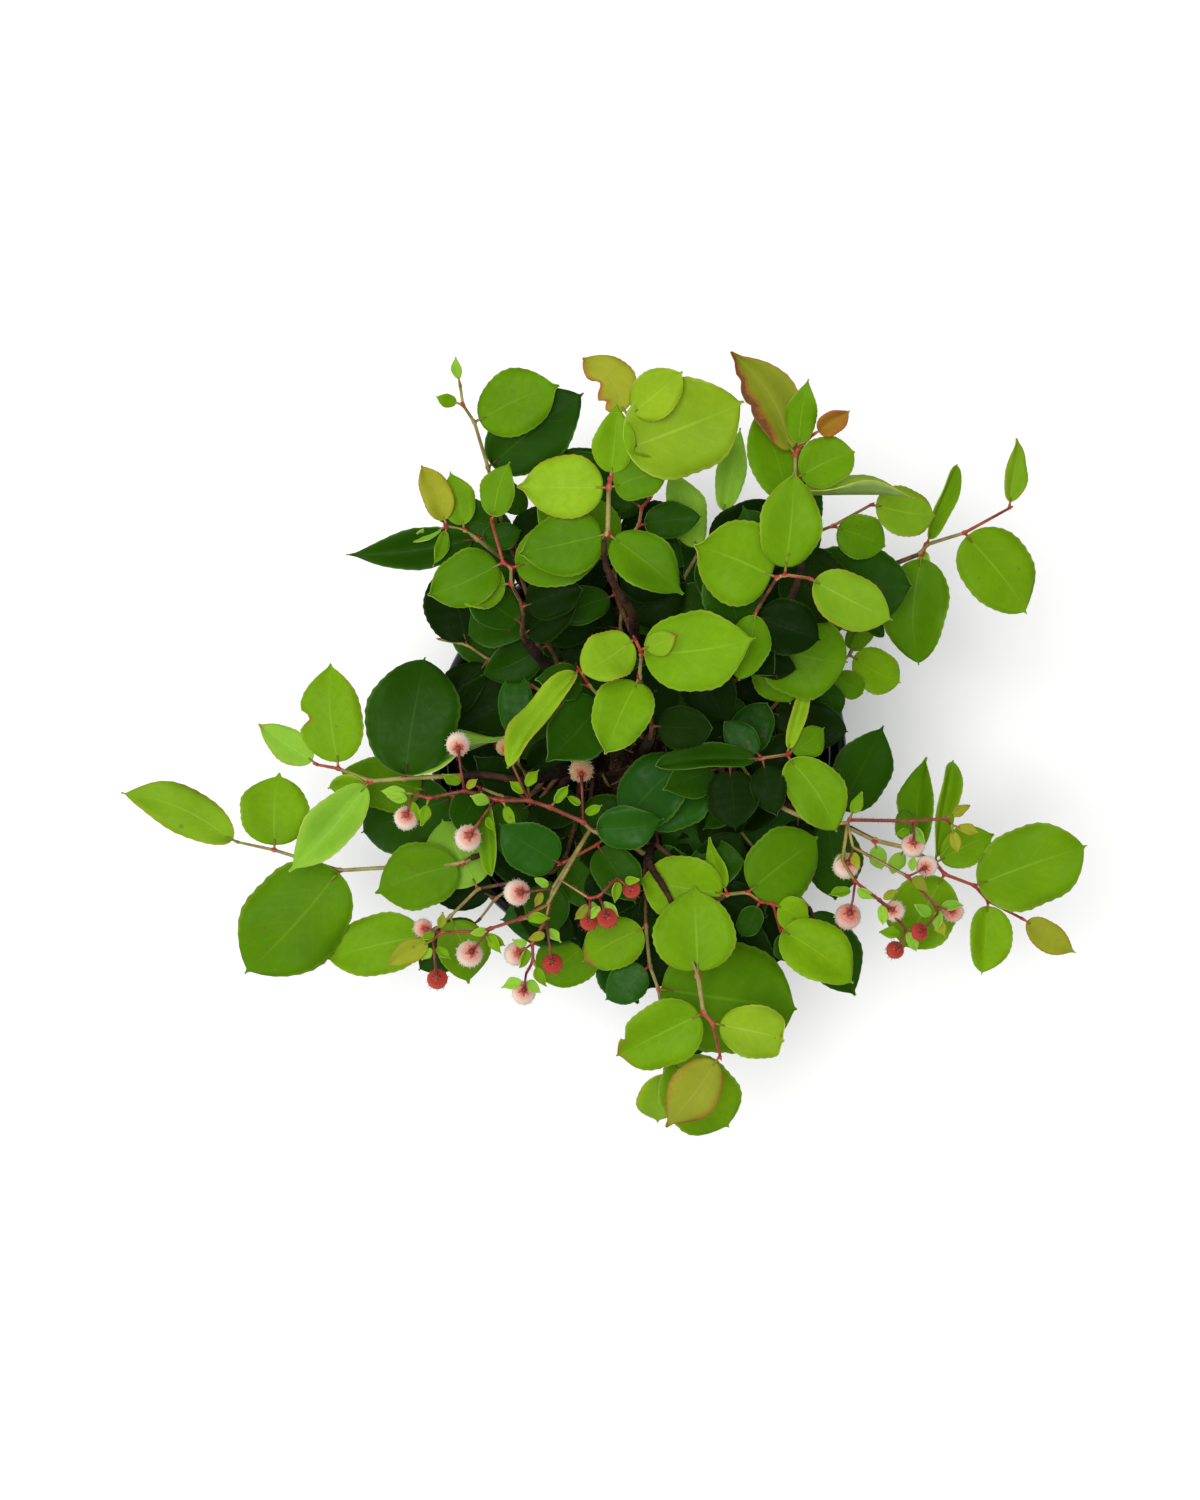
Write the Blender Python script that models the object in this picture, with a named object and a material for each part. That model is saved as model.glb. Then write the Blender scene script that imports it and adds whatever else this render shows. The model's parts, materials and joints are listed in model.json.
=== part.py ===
# Potted cascade sunrise salal: a nursery pot filled with bark mix, seven short woody stems, the boughs
# that carry on from them, and one solid for each spray of leaves and blossom.
# Metres, +Z up. The origin is the middle of the pot's flat underside. The lists below are in millimetres
# and degrees: x runs to the right and y to the back of the plant as seen from above its front.
import math
import random

import bmesh
import bpy
from mathutils import Matrix, Quaternion, Vector
from mathutils.bvhtree import BVHTree

MM = 0.001
GAP = 0.3 * MM
MERGE_DISTANCE = 0.01 * MM

# Pot
POT_HEIGHT = 165 * MM
POT_RIM_RADIUS = 82.5 * MM
POT_NECK_RADIUS = 76 * MM
POT_FOOT_RADIUS = 59 * MM
POT_WALL = 1.5 * MM
POT_FLOOR = 2.5 * MM
POT_LIP_WIDTH = 4.2 * MM
POT_LIP_HEIGHT = 14 * MM
POT_SIDES = 32
DRAIN_HOLES = 8
DRAIN_RADIUS = 5 * MM

# Bark mix
SOIL_TOP = 145 * MM

# Stems and boughs
STEM_FOOT_RADIUS = 3.0 * MM
STEM_TIP_RADIUS = 1.9 * MM
STEM_FLARE = 1.75
STEM_FLARE_END = 0.4
STEM_SIDES = 8
STEM_RINGS = 7
BOUGH_ROOT_RADIUS = 1.6 * MM
BOUGH_TIP_RADIUS = 1.1 * MM
BOUGH_SIDES = 6
BOUGH_RINGS = 8
SPRAY_ROOT_RADIUS = 1.0 * MM
SPRAY_TIP_RADIUS = 0.55 * MM
SPRAY_SIDES = 4
SIDE_ROOT_RADIUS = 0.7 * MM
SPRAY_LEAD_RINGS = 5
SHORTEST_LEAD = 2 * MM
TWIG_SIDES = 3
REACH_OF_CURVE = 0.38

# Leaves: the width as a share of the length, and the turn about the midrib
LEAF_FORMS = {
    "round": (1.00, 0),
    "wide": (0.88, 0),
    "broad": (0.77, 0),
    "oval": (0.66, 0),
    "long": (0.53, 0),
    "lance": (0.40, 8),
    "strap": (0.30, 15),
    "edge": (0.60, 62),
    "bract": (0.55, 0),
}
OLDER_FORMS = ("broad", "oval", "wide")
LEAF_STATIONS = ((0.10, 0.70), (0.43, 1.0), (0.82, 0.72))
LEAF_THICKNESS = 0.021
LEAF_CUP = 0.13
LEAF_DROOP = 0.10
PETIOLE_LENGTH = 2.8 * MM
PETIOLE_RADIUS = 0.6 * MM
PETIOLE_ROOT = 0.3 * MM
GUARD_START = 2.2 * MM
ZIGZAG = 1.1 * MM
NODE_SPACING = 2.2 * MM
STEM_STEP = 1 * MM
LEAD_LEAF_SPACING = 26 * MM
LEAD_LEAVES = 2
LEAD_LEAF_LENGTH = (20, 30)
LEAD_LEAF_TURN = (55, 95)
LEAD_LEAF_START = 0.7
CLEARANCE = 0.45 * MM

# How leaves and flowers settle, in degrees: their own spread, and how far they give way to find room
PITCH_SHARE = 0.5
PITCH_SPREAD = (-8, 12)
ROLL_SPREAD = 12
TRIES = 24
LOOSE_TURN = 14
LOOSE_PITCH = 40
LOOSE_ROLL = 35
LOOSE_FLOWER_TURN = 50
LOOSE_FLOWER_RISE = 0.8
LOOSE_FLOWER_REACH = 0.6

# Blossom: the radius at each station along an urn, as shares of its size
URN_STATIONS = ((0.0, 0.16), (0.12, 0.40), (0.45, 0.50), (0.78, 0.36), (1.0, 0.22))
URN_SIDES = 5
URN_LENGTH = 1.15
URN_LEAN = 0.35
PEDICEL_RADIUS = 0.45 * MM
PEDICEL_KNEE = (0.55, 0.3)
PEDICEL_RISE = 0.1

# name, foot (x, y), tip (x, y, z)
STEMS = (
    ("stem_left", (-16, -3), (-42, -10, 212)),
    ("stem_front", (5, -17), (3, -40, 210)),
    ("stem_right", (20, -4), (46, -16, 203)),
    ("stem_back_right", (15, 13), (40, 37, 232)),
    ("stem_back", (0, 19), (-3, 50, 238)),
    ("stem_back_left", (-17, 12), (-43, 42, 214)),
    ("stem_centre", (2, 0), (3, 6, 238)),
)

# name, the stem it leaves, how far up that stem, and the spray that it carries
BOUGHS = (
    ("bough_far_left", "stem_left", 0.50, "far_left"),
    ("bough_left", "stem_left", 1.0, "left"),
    ("bough_front", "stem_front", 1.0, "front"),
    ("bough_right", "stem_right", 0.82, "right"),
    ("bough_right_back", "stem_back_right", 0.40, "right_back"),
    ("bough_back_right", "stem_back_right", 1.0, "back_right_high"),
    ("bough_back", "stem_back", 1.0, "back_high"),
    ("bough_back_left", "stem_back_left", 0.45, "back_left"),
)


def shoot(spray, limb, at, start, end, bow=0, nod=0, leaves=(), side_shoots=()):
    """One shoot: its limb and how far up that it leaves it, where its leaves begin and end, how far it bows
    aside, and for each leaf the share of the way along, the turn from the shoot, the length and the form.
    A flower's length is its stalk's, with the flower's own size after it."""
    return dict(spray=spray, limb=limb, at=at, start=start, end=end, bow=bow, nod=nod, leaves=leaves,
                side_shoots=side_shoots)


def side_shoot(start, end, bow=0, leaves=()):
    """A flowering side shoot, fused to the root of the shoot that holds it."""
    return dict(start=start, end=end, bow=bow, leaves=leaves)


SHOOTS = (
    shoot("centre_top", "stem_centre", 1.0, (3, 14, 253), (-3, 41, 279), leaves=(
        (0.53, 145, 28, "broad"), (0.79, -95, 39, "broad"), (0.85, -80, 12, "broad"),
        (1, 110, 22, "wide"))),
    shoot("back_right_top", "stem_back_right", 0.92, (41, 52, 267), (59, 63, 273), bow=5, leaves=(
        (0, -180, 24, "oval"), (0.56, 135, 30, "round"), (0.68, 70, 34, "oval"), (1, -15, 31, "oval"))),
    shoot("back_high", "bough_back", 1.0, (-14, 77, 263), (-5, 121, 271), bow=1, leaves=(
        (0.06, -120, 32, "oval"), (0.1, 110, 30, "broad"), (0.42, 100, 30, "broad"),
        (0.44, -65, 19, "wide"), (0.49, 5, 24, "oval"), (0.73, -55, 44, "broad"), (1, -30, 23, "broad"),
        (1, 55, 24, "oval"))),
    shoot("back_right_high", "bough_back_right", 1.0, (57, 82, 251), (62, 118, 257), bow=5, leaves=(
        (0.24, 10, 34, "oval"), (0.35, -90, 41, "edge"), (0.5, -60, 21, "wide"), (0.72, 55, 42, "long"),
        (0.78, 25, 23, "long"), (0.96, -25, 13, "broad"))),
    shoot("centre_left", "stem_centre", 0.86, (-6, 12, 231), (-23, 31, 253), leaves=(
        (0.45, 95, 30, "broad"), (0.73, 40, 19, "broad"), (1, 100, 42, "strap"))),
    shoot("back_left_top", "stem_back_left", 1.0, (-45, 57, 241), (-55, 85, 249), leaves=(
        (0.22, 75, 18, "round"), (0.4, -95, 33, "broad"), (0.49, 95, 27, "broad"), (1, -35, 20, "oval"))),
    shoot("back_right_out", "stem_back_right", 0.72, (64, 82, 237), (87, 95, 231), leaves=(
        (0.28, -50, 19, "wide"), (0.9, -35, 23, "wide"))),
    shoot("centre_front", "stem_front", 0.88, (0, -23, 201), (-30, -41, 225), leaves=(
        (0.06, 180, 32, "broad"), (0.22, -165, 33, "broad"), (0.57, 95, 24, "broad"),
        (1, -60, 25, "broad"))),
    shoot("front", "bough_front", 1.0, (12, -57, 211), (30, -114, 215), leaves=(
        (0.48, 165, 31, "round"), (0.71, -80, 34, "broad"), (0.79, 60, 30, "oval"), (1, -55, 31, "oval"))),
    shoot("right_inner", "stem_right", 0.74, (36, -4, 217), (56, -1, 221), leaves=(
        (0.49, 175, 38, "strap"), (0.53, 130, 17, "oval"), (0.56, -85, 20, "oval"),
        (0.95, 65, 24, "strap"), (0.99, 25, 15, "broad"), (1, -65, 32, "oval"))),
    shoot("back_right_low", "stem_back_right", 0.84, (41, 41, 227), (58, 66, 223), leaves=(
        (0.08, -70, 32, "round"), (0.27, -130, 28, "broad"), (0.73, 45, 25, "broad"),
        (1, -60, 41, "broad"))),
    shoot("left", "bough_left", 1.0, (-67, -8, 213), (-123, -4, 207), bow=4, leaves=(
        (0.4, -100, 44, "broad"), (0.4, -145, 41, "edge"), (0.63, 55, 44, "long"),
        (0.66, 25, 16, "oval"), (0.86, -70, 37, "oval"), (1, -15, 26, "long"))),
    shoot("front_right", "stem_front", 0.78, (31, -55, 209), (55, -68, 201), bow=7, leaves=(
        (0.06, 95, 20, "lance"), (0.11, 160, 31, "wide"), (0.29, 40, 33, "wide"),
        (0.49, -90, 13, "broad"), (0.66, 25, 13, "round"), (0.95, -5, 12, "oval"), (1, 40, 32, "broad"))),
    shoot("back_left", "bough_back_left", 1.0, (-52, 74, 209), (-74, 88, 217), leaves=(
        (0.47, -135, 14, "broad"), (0.51, 40, 47, "lance"), (0.69, -45, 20, "oval"),
        (0.93, 105, 14, "lance"), (0.96, 55, 14, "lance"), (1, -35, 22, "long"))),
    shoot("back_left_young", "stem_back_left", 0.86, (-53, 89, 213), (-67, 136, 239), leaves=(
        (0.39, -70, 43, "oval"), (0.73, -85, 32, "broad"), (0.87, 60, 8, "oval"), (1, -5, 8, "bract"))),
    shoot("back_low", "stem_back", 0.55, (11, 55, 209), (31, 90, 215), leaves=(
        (0.2, 50, 25, "long"), (0.59, 45, 31, "long"), (0.66, -25, 28, "oval"), (1, 20, 31, "lance"))),
    shoot("back_inner", "stem_back", 0.78, (-9, 73, 223), (3, 95, 229), leaves=(
        (0.2, 90, 34, "broad"), (0.6, -55, 21, "oval"), (0.84, 85, 35, "long"), (1, 40, 14, "oval"))),
    shoot("centre_back", "stem_centre", 0.7, (10, 24, 217), (18, 37, 221), leaves=(
        (0.42, 65, 15, "oval"), (0.77, -160, 24, "wide"), (1, -120, 26, "broad"))),
    shoot("right_back", "bough_right_back", 1.0, (93, 71, 209), (141, 94, 203), leaves=(
        (0.28, -120, 39, "oval"), (0.34, 40, 32, "strap"), (0.35, -125, 31, "strap"),
        (0.63, -75, 38, "broad"), (1, 55, 25, "lance"))),
    shoot("right", "bough_right", 1.0, (80, -28, 201), (150, -66, 179), bow=3, leaves=(
        (0.14, -55, 9, "broad"), (0.29, 115, 13, "oval"), (0.31, -85, 9, "broad"),
        (0.37, 115, 39, "lance"), (0.46, 105, 42, "strap"), (0.48, 55, 24, "oval"),
        (0.53, -90, 32, "wide"), (0.69, 50, 44, "broad"), (0.79, -60, 26, "broad"), (0.98, 5, 23, "long"))),
    shoot("front_low", "stem_front", 0.6, (2, -50, 199), (11, -123, 185), bow=-1, leaves=(
        (0.22, -65, 26, "broad"), (0.43, -60, 19, "broad"), (0.56, 75, 53, "wide"),
        (0.94, 30, 36, "wide"), (0.99, -10, 28, "oval"))),
    shoot("far_left", "bough_far_left", 1.0, (-65, -40, 195), (-157, -33, 181), bow=8, leaves=(
        (0.04, 5, 33, "broad"), (0.55, 55, 52, "broad"), (0.84, -75, 27, "round"), (0.99, 0, 48, "lance"))),
    shoot("left_low", "stem_left", 0.4, (-42, -48, 195), (-81, -71, 185), bow=-6, leaves=(
        (0.44, -90, 28, "wide"), (0.77, 60, 25, "broad"), (0.99, -45, 39, "oval"))),
    shoot("left_inner", "stem_left", 0.8, (-48, -17, 205), (-62, -11, 211), leaves=(
        (0.36, 125, 25, "long"), (0.87, 120, 31, "strap"), (1, 80, 21, "oval"))),
    shoot("centre_right", "stem_right", 0.55, (45, -14, 187), (32, 4, 191), leaves=(
        (0.2, -75, 20, "oval"), (0.67, -65, 22, "broad"), (0.83, 55, 20, "broad"), (0.99, 0, 19, "broad"))),
    shoot("centre_low", "stem_left", 0.62, (-43, -18, 179), (-48, 4, 185), leaves=(
        (0, -120, 25, "broad"), (0.45, -70, 19, "broad"), (0.63, 60, 25, "broad"),
        (0.98, -10, 28, "long"))),
    shoot("right_side", "stem_right", 0.64, (60, 25, 184), (85, 39, 173), leaves=(
        (0.44, -100, 16, "oval"), (0.56, -60, 14, "broad"), (0.92, 45, 12, "oval"),
        (0.93, 20, 13, "long"), (0.98, -55, 22, "broad"))),
    shoot("right_low", "stem_right", 0.3, (65, -24, 175), (80, -25, 169), leaves=(
        (0.2, -160, 28, "oval"), (0.62, -80, 31, "broad"), (0.88, 65, 37, "oval"))),
    shoot("left_under", "stem_left", 0.3, (-58, -18, 177), (-84, -14, 173), leaves=(
        (0.55, 30, 40, "broad"), (1, -10, 31, "broad"))),
    shoot("front_left", "stem_front", 0.3, (-11, -51, 173), (-15, -75, 167), leaves=(
        (0.35, -75, 39, "oval"), (0.76, -40, 30, "broad"), (1, 40, 27, "oval"))),
    shoot("back_left_low", "stem_back_left", 0.2, (-27, 39, 161), (-60, 53, 187), leaves=(
        (0.07, 5, 49, "oval"), (0.37, 175, 8, "oval"), (0.67, -140, 9, "oval"), (1, 90, 8, "bract"))),
    shoot("right_mid", "stem_back_right", 0.52, (64, 44, 195), (84, 55, 199), leaves=(
        (0.61, 60, 16, "broad"), (0.83, 5, 23, "broad"), (1, -75, 11, "oval"))),
    shoot("back_left_mid", "stem_back_left", 0.62, (-48, 75, 199), (-38, 97, 207), leaves=(
        (0.18, 90, 23, "broad"), (0.52, -45, 27, "broad"), (0.75, 85, 17, "oval"), (1, -25, 27, "oval"))),
    shoot("front_inner", "stem_front", 0.48, (6, -45, 195), (25, -52, 199), leaves=(
        (0.25, 80, 13, "oval"), (0.49, -120, 17, "broad"), (0.73, 65, 24, "broad"), (1, -5, 23, "broad"))),
    shoot("blossom_left", "stem_front", 0.97, (-19, -28, 227), (-86, -16, 237), bow=-6, leaves=(
        (0, -145, 25, "oval"), (0.05, -60, 18, "bell", 9), (0.24, -110, 8, "bract"),
        (0.36, -50, 21, "bud", 7), (0.5, 125, 8, "bract"), (0.54, 60, 15, "bell", 10),
        (0.71, -80, 16, "bell", 9), (0.9, 70, 8, "bract"), (0.98, -15, 9, "bract"),
        (1, 65, 8, "bell", 9)), side_shoots=(
        side_shoot((-35, -56, 228), (-79, -68, 230), bow=2, leaves=(
            (0.24, 160, 8, "bract"), (0.5, 35, 11, "bell", 10), (0.58, 135, 8, "bract"),
            (0.9, -20, 6, "bell", 7), (0.97, 25, 17, "bract"), (1, 90, 14, "bud", 8))),
        side_shoot((-33, -50, 227), (-43, -82, 228), leaves=(
            (0, -65, 12, "bell", 10), (0.35, 25, 16, "bud", 8), (0.66, -40, 6, "bell", 9),
            (0.84, 45, 8, "bract"), (1, 10, 6, "bell", 9))),
        side_shoot((-30, -47, 228), (-9, -46, 232), bow=-6, leaves=(
            (0.5, -95, 8, "bud", 7), (0.65, -120, 6, "bud", 8), (1, -90, 6, "bud", 7))),
    )),
    shoot("blossom_right", "stem_right", 1.0, (78, -26, 217), (119, -26, 217), bow=2, leaves=(
        (0.02, 55, 9, "bract"), (0.6, -85, 8, "bell", 9), (0.9, 35, 8, "bract"), (0.96, -5, 8, "bract"),
        (0.99, -65, 8, "bract")), side_shoots=(
        side_shoot((80, -35, 217), (112, -60, 217), bow=3, leaves=(
            (0, -85, 6, "bell", 10), (0.57, 80, 6, "bell", 8), (0.94, 35, 6, "bell", 8),
            (1, -80, 9, "bud", 7))),
        side_shoot((76, -40, 218), (100, -66, 217), bow=-1, leaves=(
            (0.26, -50, 12, "bell", 10), (0.58, 10, 6, "bell", 8), (1, -75, 8, "bud", 7))),
    )),
)

# name, the stem it leaves, how far up, and its way out from the middle in degrees
UNDERGROWTH = (
    ("under_left", "stem_left", 0.12, 226),
    ("under_front", "stem_front", 0.14, 282),
    ("under_front_right", "stem_right", 0.12, 318),
    ("under_back_right", "stem_back_right", 0.12, 52),
    ("under_back", "stem_back", 0.14, 95),
    ("under_back_left", "stem_back_left", 0.10, 150),
)
UNDERGROWTH_REACH = (34, 90)
UNDERGROWTH_HEIGHT = (173, 173)
UNDERGROWTH_LEAVES = 5
UNDERGROWTH_FIRST = 0.1
UNDERGROWTH_TURN = (50, 85)
UNDERGROWTH_LENGTH = (26, 40)
UNDERGROWTH_END_LENGTH = (26, 36)
UNDERGROWTH_BOW = 4
UNDERGROWTH_NOD = -6


def at_mm(place):
    return Vector(place) * MM


def heading_of(direction):
    return math.atan2(direction.y, direction.x)


def clean_scene():
    for old in list(bpy.data.objects):
        bpy.data.objects.remove(old)


def plain_material(name, colour, roughness):
    material = bpy.data.materials.new(name)
    material.use_nodes = True
    shader = material.node_tree.nodes["Principled BSDF"]
    shader.inputs["Base Color"].default_value = (*colour, 1)
    shader.inputs["Roughness"].default_value = roughness
    shader.inputs["Metallic"].default_value = 0
    material.diffuse_color = (*colour, 1)
    return material


def object_from(bm, name, material=None):
    bmesh.ops.recalc_face_normals(bm, faces=bm.faces)
    mesh = bpy.data.meshes.new(name)
    bm.to_mesh(mesh)
    bm.free()
    made = bpy.data.objects.new(name, mesh)
    bpy.context.scene.collection.objects.link(made)
    if material:
        mesh.materials.append(material)
    return made


def turned(profile):
    """A closed solid turned from (radius, height) points that begin and end on the axis."""
    bm = bmesh.new()
    line = [bm.verts.new((radius, 0, height)) for radius, height in profile]
    edges = [bm.edges.new(pair) for pair in zip(line, line[1:])]
    bmesh.ops.spin(bm, geom=line + edges, cent=(0, 0, 0), axis=(0, 0, 1), angle=math.tau,
                   steps=POT_SIDES, use_merge=True, use_duplicate=False)
    bmesh.ops.remove_doubles(bm, verts=bm.verts, dist=MERGE_DISTANCE)
    return bm


def is_closed(mesh):
    bm = bmesh.new()
    bm.from_mesh(mesh)
    closed = len(bm.faces) > 0 and all(edge.is_manifold for edge in bm.edges)
    bm.free()
    return closed


def apply_boolean(target, others, operation):
    """Joins or cuts a target with a collection of objects, applies it and removes them."""
    group = bpy.data.collections.new(target.name + "_pieces")
    bpy.context.scene.collection.children.link(group)
    for other in others:
        bpy.context.scene.collection.objects.unlink(other)
        group.objects.link(other)
    joint = target.modifiers.new("joint", "BOOLEAN")
    joint.operation = operation
    joint.operand_type = "COLLECTION"
    joint.collection = group
    for solver in ("EXACT", "MANIFOLD"):
        joint.solver = solver
        seen = target.evaluated_get(bpy.context.evaluated_depsgraph_get())
        result = bpy.data.meshes.new_from_object(seen)
        if is_closed(result):
            break
        print(target.name, "isn't closed by", solver)
    target.modifiers.clear()
    target.data = result
    for other in others:
        bpy.data.objects.remove(other)
    bpy.data.collections.remove(group)


def keep_largest_body(target):
    """Drops scraps and fills sealed hollows by keeping only the shell with the most faces."""
    bm = bmesh.new()
    bm.from_mesh(target.data)
    left = set(bm.faces)
    bodies = []
    while left:
        body = {left.pop()}
        front = list(body)
        while front:
            face = front.pop()
            near = {other for edge in face.edges for other in edge.link_faces} & left
            left -= near
            body |= near
            front.extend(near)
        bodies.append(body)
    largest = max(bodies, key=len)
    loose = [face for body in bodies if body is not largest for face in body]
    bmesh.ops.delete(bm, geom=loose, context="FACES")
    bm.to_mesh(target.data)
    bm.free()


def make_pot():
    """A tapered pot with a rolled lip and drain holes at the edge of its floor."""
    lip_bottom = POT_HEIGHT - POT_LIP_HEIGHT
    edge = 1 * MM
    lip_inside = POT_RIM_RADIUS - POT_LIP_WIDTH
    profile = (
        (0, 0),
        (POT_FOOT_RADIUS - edge, 0),
        (POT_FOOT_RADIUS, edge),
        (POT_NECK_RADIUS, lip_bottom - 2 * edge),
        (POT_RIM_RADIUS - edge, lip_bottom),
        (POT_RIM_RADIUS, lip_bottom + edge),
        (POT_RIM_RADIUS, POT_HEIGHT - 1.5 * edge),
        (POT_RIM_RADIUS - 1.5 * edge, POT_HEIGHT),
        (lip_inside + edge, POT_HEIGHT),
        (lip_inside, POT_HEIGHT - 1.5 * edge),
        (lip_inside - edge, lip_bottom),
        (POT_NECK_RADIUS - POT_WALL, lip_bottom - 5 * edge),
        (POT_FOOT_RADIUS - POT_WALL, POT_FLOOR),
        (0, POT_FLOOR),
    )
    pot = object_from(turned(profile), "pot", plain_material("pot_plastic", (0.012, 0.013, 0.018), 0.35))
    cutters = []
    for hole in range(DRAIN_HOLES):
        angle = math.tau * (hole + 0.5) / DRAIN_HOLES
        bm = bmesh.new()
        bmesh.ops.create_cone(bm, cap_ends=True, segments=10, radius1=DRAIN_RADIUS, radius2=DRAIN_RADIUS,
                              depth=16 * MM)
        tilt = Matrix.Rotation(angle, 4, "Z") @ Matrix.Translation((POT_FOOT_RADIUS, 0, 1 * MM))
        bmesh.ops.transform(bm, matrix=tilt @ Matrix.Rotation(math.radians(50), 4, "Y"), verts=bm.verts)
        cutter = object_from(bm, "drain_%d" % hole)
        cutter.hide_render = True
        cutter.display_type = "WIRE"
        cutters.append(cutter)
    apply_boolean(pot, cutters, "DIFFERENCE")
    keep_largest_body(pot)
    return pot


def make_soil():
    """The bark mix, a flat-topped plug just clear of the pot's wall and floor."""
    wall_top = POT_HEIGHT - POT_LIP_HEIGHT - 5 * MM
    share = (SOIL_TOP - POT_FLOOR) / (wall_top - POT_FLOOR)
    foot = POT_FOOT_RADIUS - POT_WALL - 2 * GAP
    neck = foot + (POT_NECK_RADIUS - POT_FOOT_RADIUS) * share
    profile = ((0, POT_FLOOR + GAP), (foot, POT_FLOOR + GAP), (neck, SOIL_TOP), (0, SOIL_TOP))
    return object_from(turned(profile), "soil", plain_material("bark_mix", (0.05, 0.03, 0.018), 0.95))


def ring_round(centre, along, radius, sides, side_way):
    """Points of one ring across a limb, and the direction that the next ring's first point follows."""
    across = side_way - along * side_way.dot(along)
    across.normalize()
    up = along.cross(across)
    points = []
    for side in range(sides):
        angle = math.tau * side / sides
        points.append(centre + (across * math.cos(angle) + up * math.sin(angle)) * radius)
    return points, across


def lofted(rings, tip=None):
    """A closed solid through rings of equally many points, by extruding the first ring's face along."""
    bm = bmesh.new()
    circle = bmesh.ops.create_circle(bm, cap_ends=True, segments=len(rings[0]), radius=1)["verts"]
    face = circle[0].link_faces[0]
    front = list(face.verts)
    for vert, place in zip(front, rings[0]):
        vert.co = place
    for step, ring in enumerate(rings[1:]):
        grown = bmesh.ops.extrude_face_region(bm, geom=[face])["geom"]
        if step > 0:
            bmesh.ops.delete(bm, geom=[face], context="FACES_ONLY")
        face = next(item for item in grown if isinstance(item, bmesh.types.BMFace))
        twin = {}
        for vert in (item for item in grown if isinstance(item, bmesh.types.BMVert)):
            for old in front:
                if (vert.co - old.co).length_squared == 0:
                    twin[old] = vert
        front = [twin[old] for old in front]
        for vert, place in zip(front, ring):
            vert.co = place
    if tip is not None:
        bmesh.ops.pointmerge(bm, verts=front, merge_co=tip)
    return bm


def tube(points, radii, sides, first_way=None):
    """A tapering limb through the points. Its first ring may be squared to a given direction."""
    count = len(points)
    rings = []
    side_way = Vector((0.31, 0.17, 0.93))
    for index, point in enumerate(points):
        before = points[max(index - 1, 0)]
        after = points[min(index + 1, count - 1)]
        along = (after - before).normalized()
        if index == 0 and first_way is not None:
            along = first_way
        ring, side_way = ring_round(point, along, radii[index], sides, side_way)
        rings.append(ring)
    return lofted(rings)


def curve_between(start, start_way, end, end_way, steps):
    """Points along a smooth curve that leaves and arrives in the given directions."""
    reach = (end - start).length * REACH_OF_CURVE
    a, b, c, d = start, start + start_way * reach, end - end_way * reach, end
    points = []
    for step in range(steps + 1):
        t = step / steps
        s = 1 - t
        points.append(a * s ** 3 + b * 3 * s * s * t + c * 3 * s * t * t + d * t ** 3)
    return points


def even_radii(root, tip, count):
    return [root + (tip - root) * index / (count - 1) for index in range(count)]


def point_along(points, share):
    """The place and direction at a share of the way along a line of points."""
    place = share * (len(points) - 1)
    index = min(int(place), len(points) - 2)
    step = points[index + 1] - points[index]
    return points[index] + step * (place - index), step.normalized()


def departure(limb, share, target):
    """Where and in which direction a limb or spray leaves another, just clear of its surface."""
    if share >= 1:
        end = limb["points"][-1]
        way = (end - limb["points"][-2]).normalized()
        return end + way * GAP, way
    place, along = point_along(limb["points"], share)
    radius = limb["root"] + (limb["tip"] - limb["root"]) * share
    out = target - place
    out = (out - along * out.dot(along)).normalized()
    return place + out * (radius + GAP), out


def shoot_place(spec, share):
    """A place on a shoot's own line, which bows sideways between its two ends."""
    start, end = at_mm(spec["start"]), at_mm(spec["end"])
    chord = end - start
    side = Vector((-chord.y, chord.x, 0)).normalized()
    swell = 4 * share * (1 - share)
    return start + chord * share + side * (spec["bow"] * MM * swell)


def shoot_way(spec, share):
    near = 0.02
    low, high = max(share - near, 0), min(share + near, 1)
    return (shoot_place(spec, high) - shoot_place(spec, low)).normalized()


def spaced(line):
    """The points of a stem without those that lie on the one before."""
    kept = [line[0]]
    for point in line[1:]:
        if (point - kept[-1]).length > STEM_STEP:
            kept.append(point)
    return kept


def shoot_nodes(spec):
    """The place and direction of each leaf's node, pushed a little to the leaf's side so that the stem
    zigzags. Leaves that stand close together share one node."""
    nodes = []
    for share, turn in (leaf[:2] for leaf in spec["leaves"]):
        way = shoot_way(spec, share)
        left = Vector((-way.y, way.x, 0)).normalized()
        push = math.copysign(ZIGZAG, turn) if 0 < share < 1 else 0
        place = shoot_place(spec, share) + left * push
        if nodes and (place - nodes[-1][0]).dot(way) < NODE_SPACING:
            place = nodes[-1][0]
        nodes.append((place, way))
    return nodes


def leaf_frame(node, way, turn, pitch, roll):
    """Axes of a leaf: x runs along its midrib and z out of its upper face."""
    level = Quaternion((0, 0, 1), heading_of(way) + math.radians(turn))
    raise_tip = Quaternion((0, 1, 0), -math.radians(pitch))
    roll_over = Quaternion((1, 0, 0), math.radians(roll))
    return Matrix.Translation(node) @ (level @ raise_tip @ roll_over).to_matrix().to_4x4()


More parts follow.
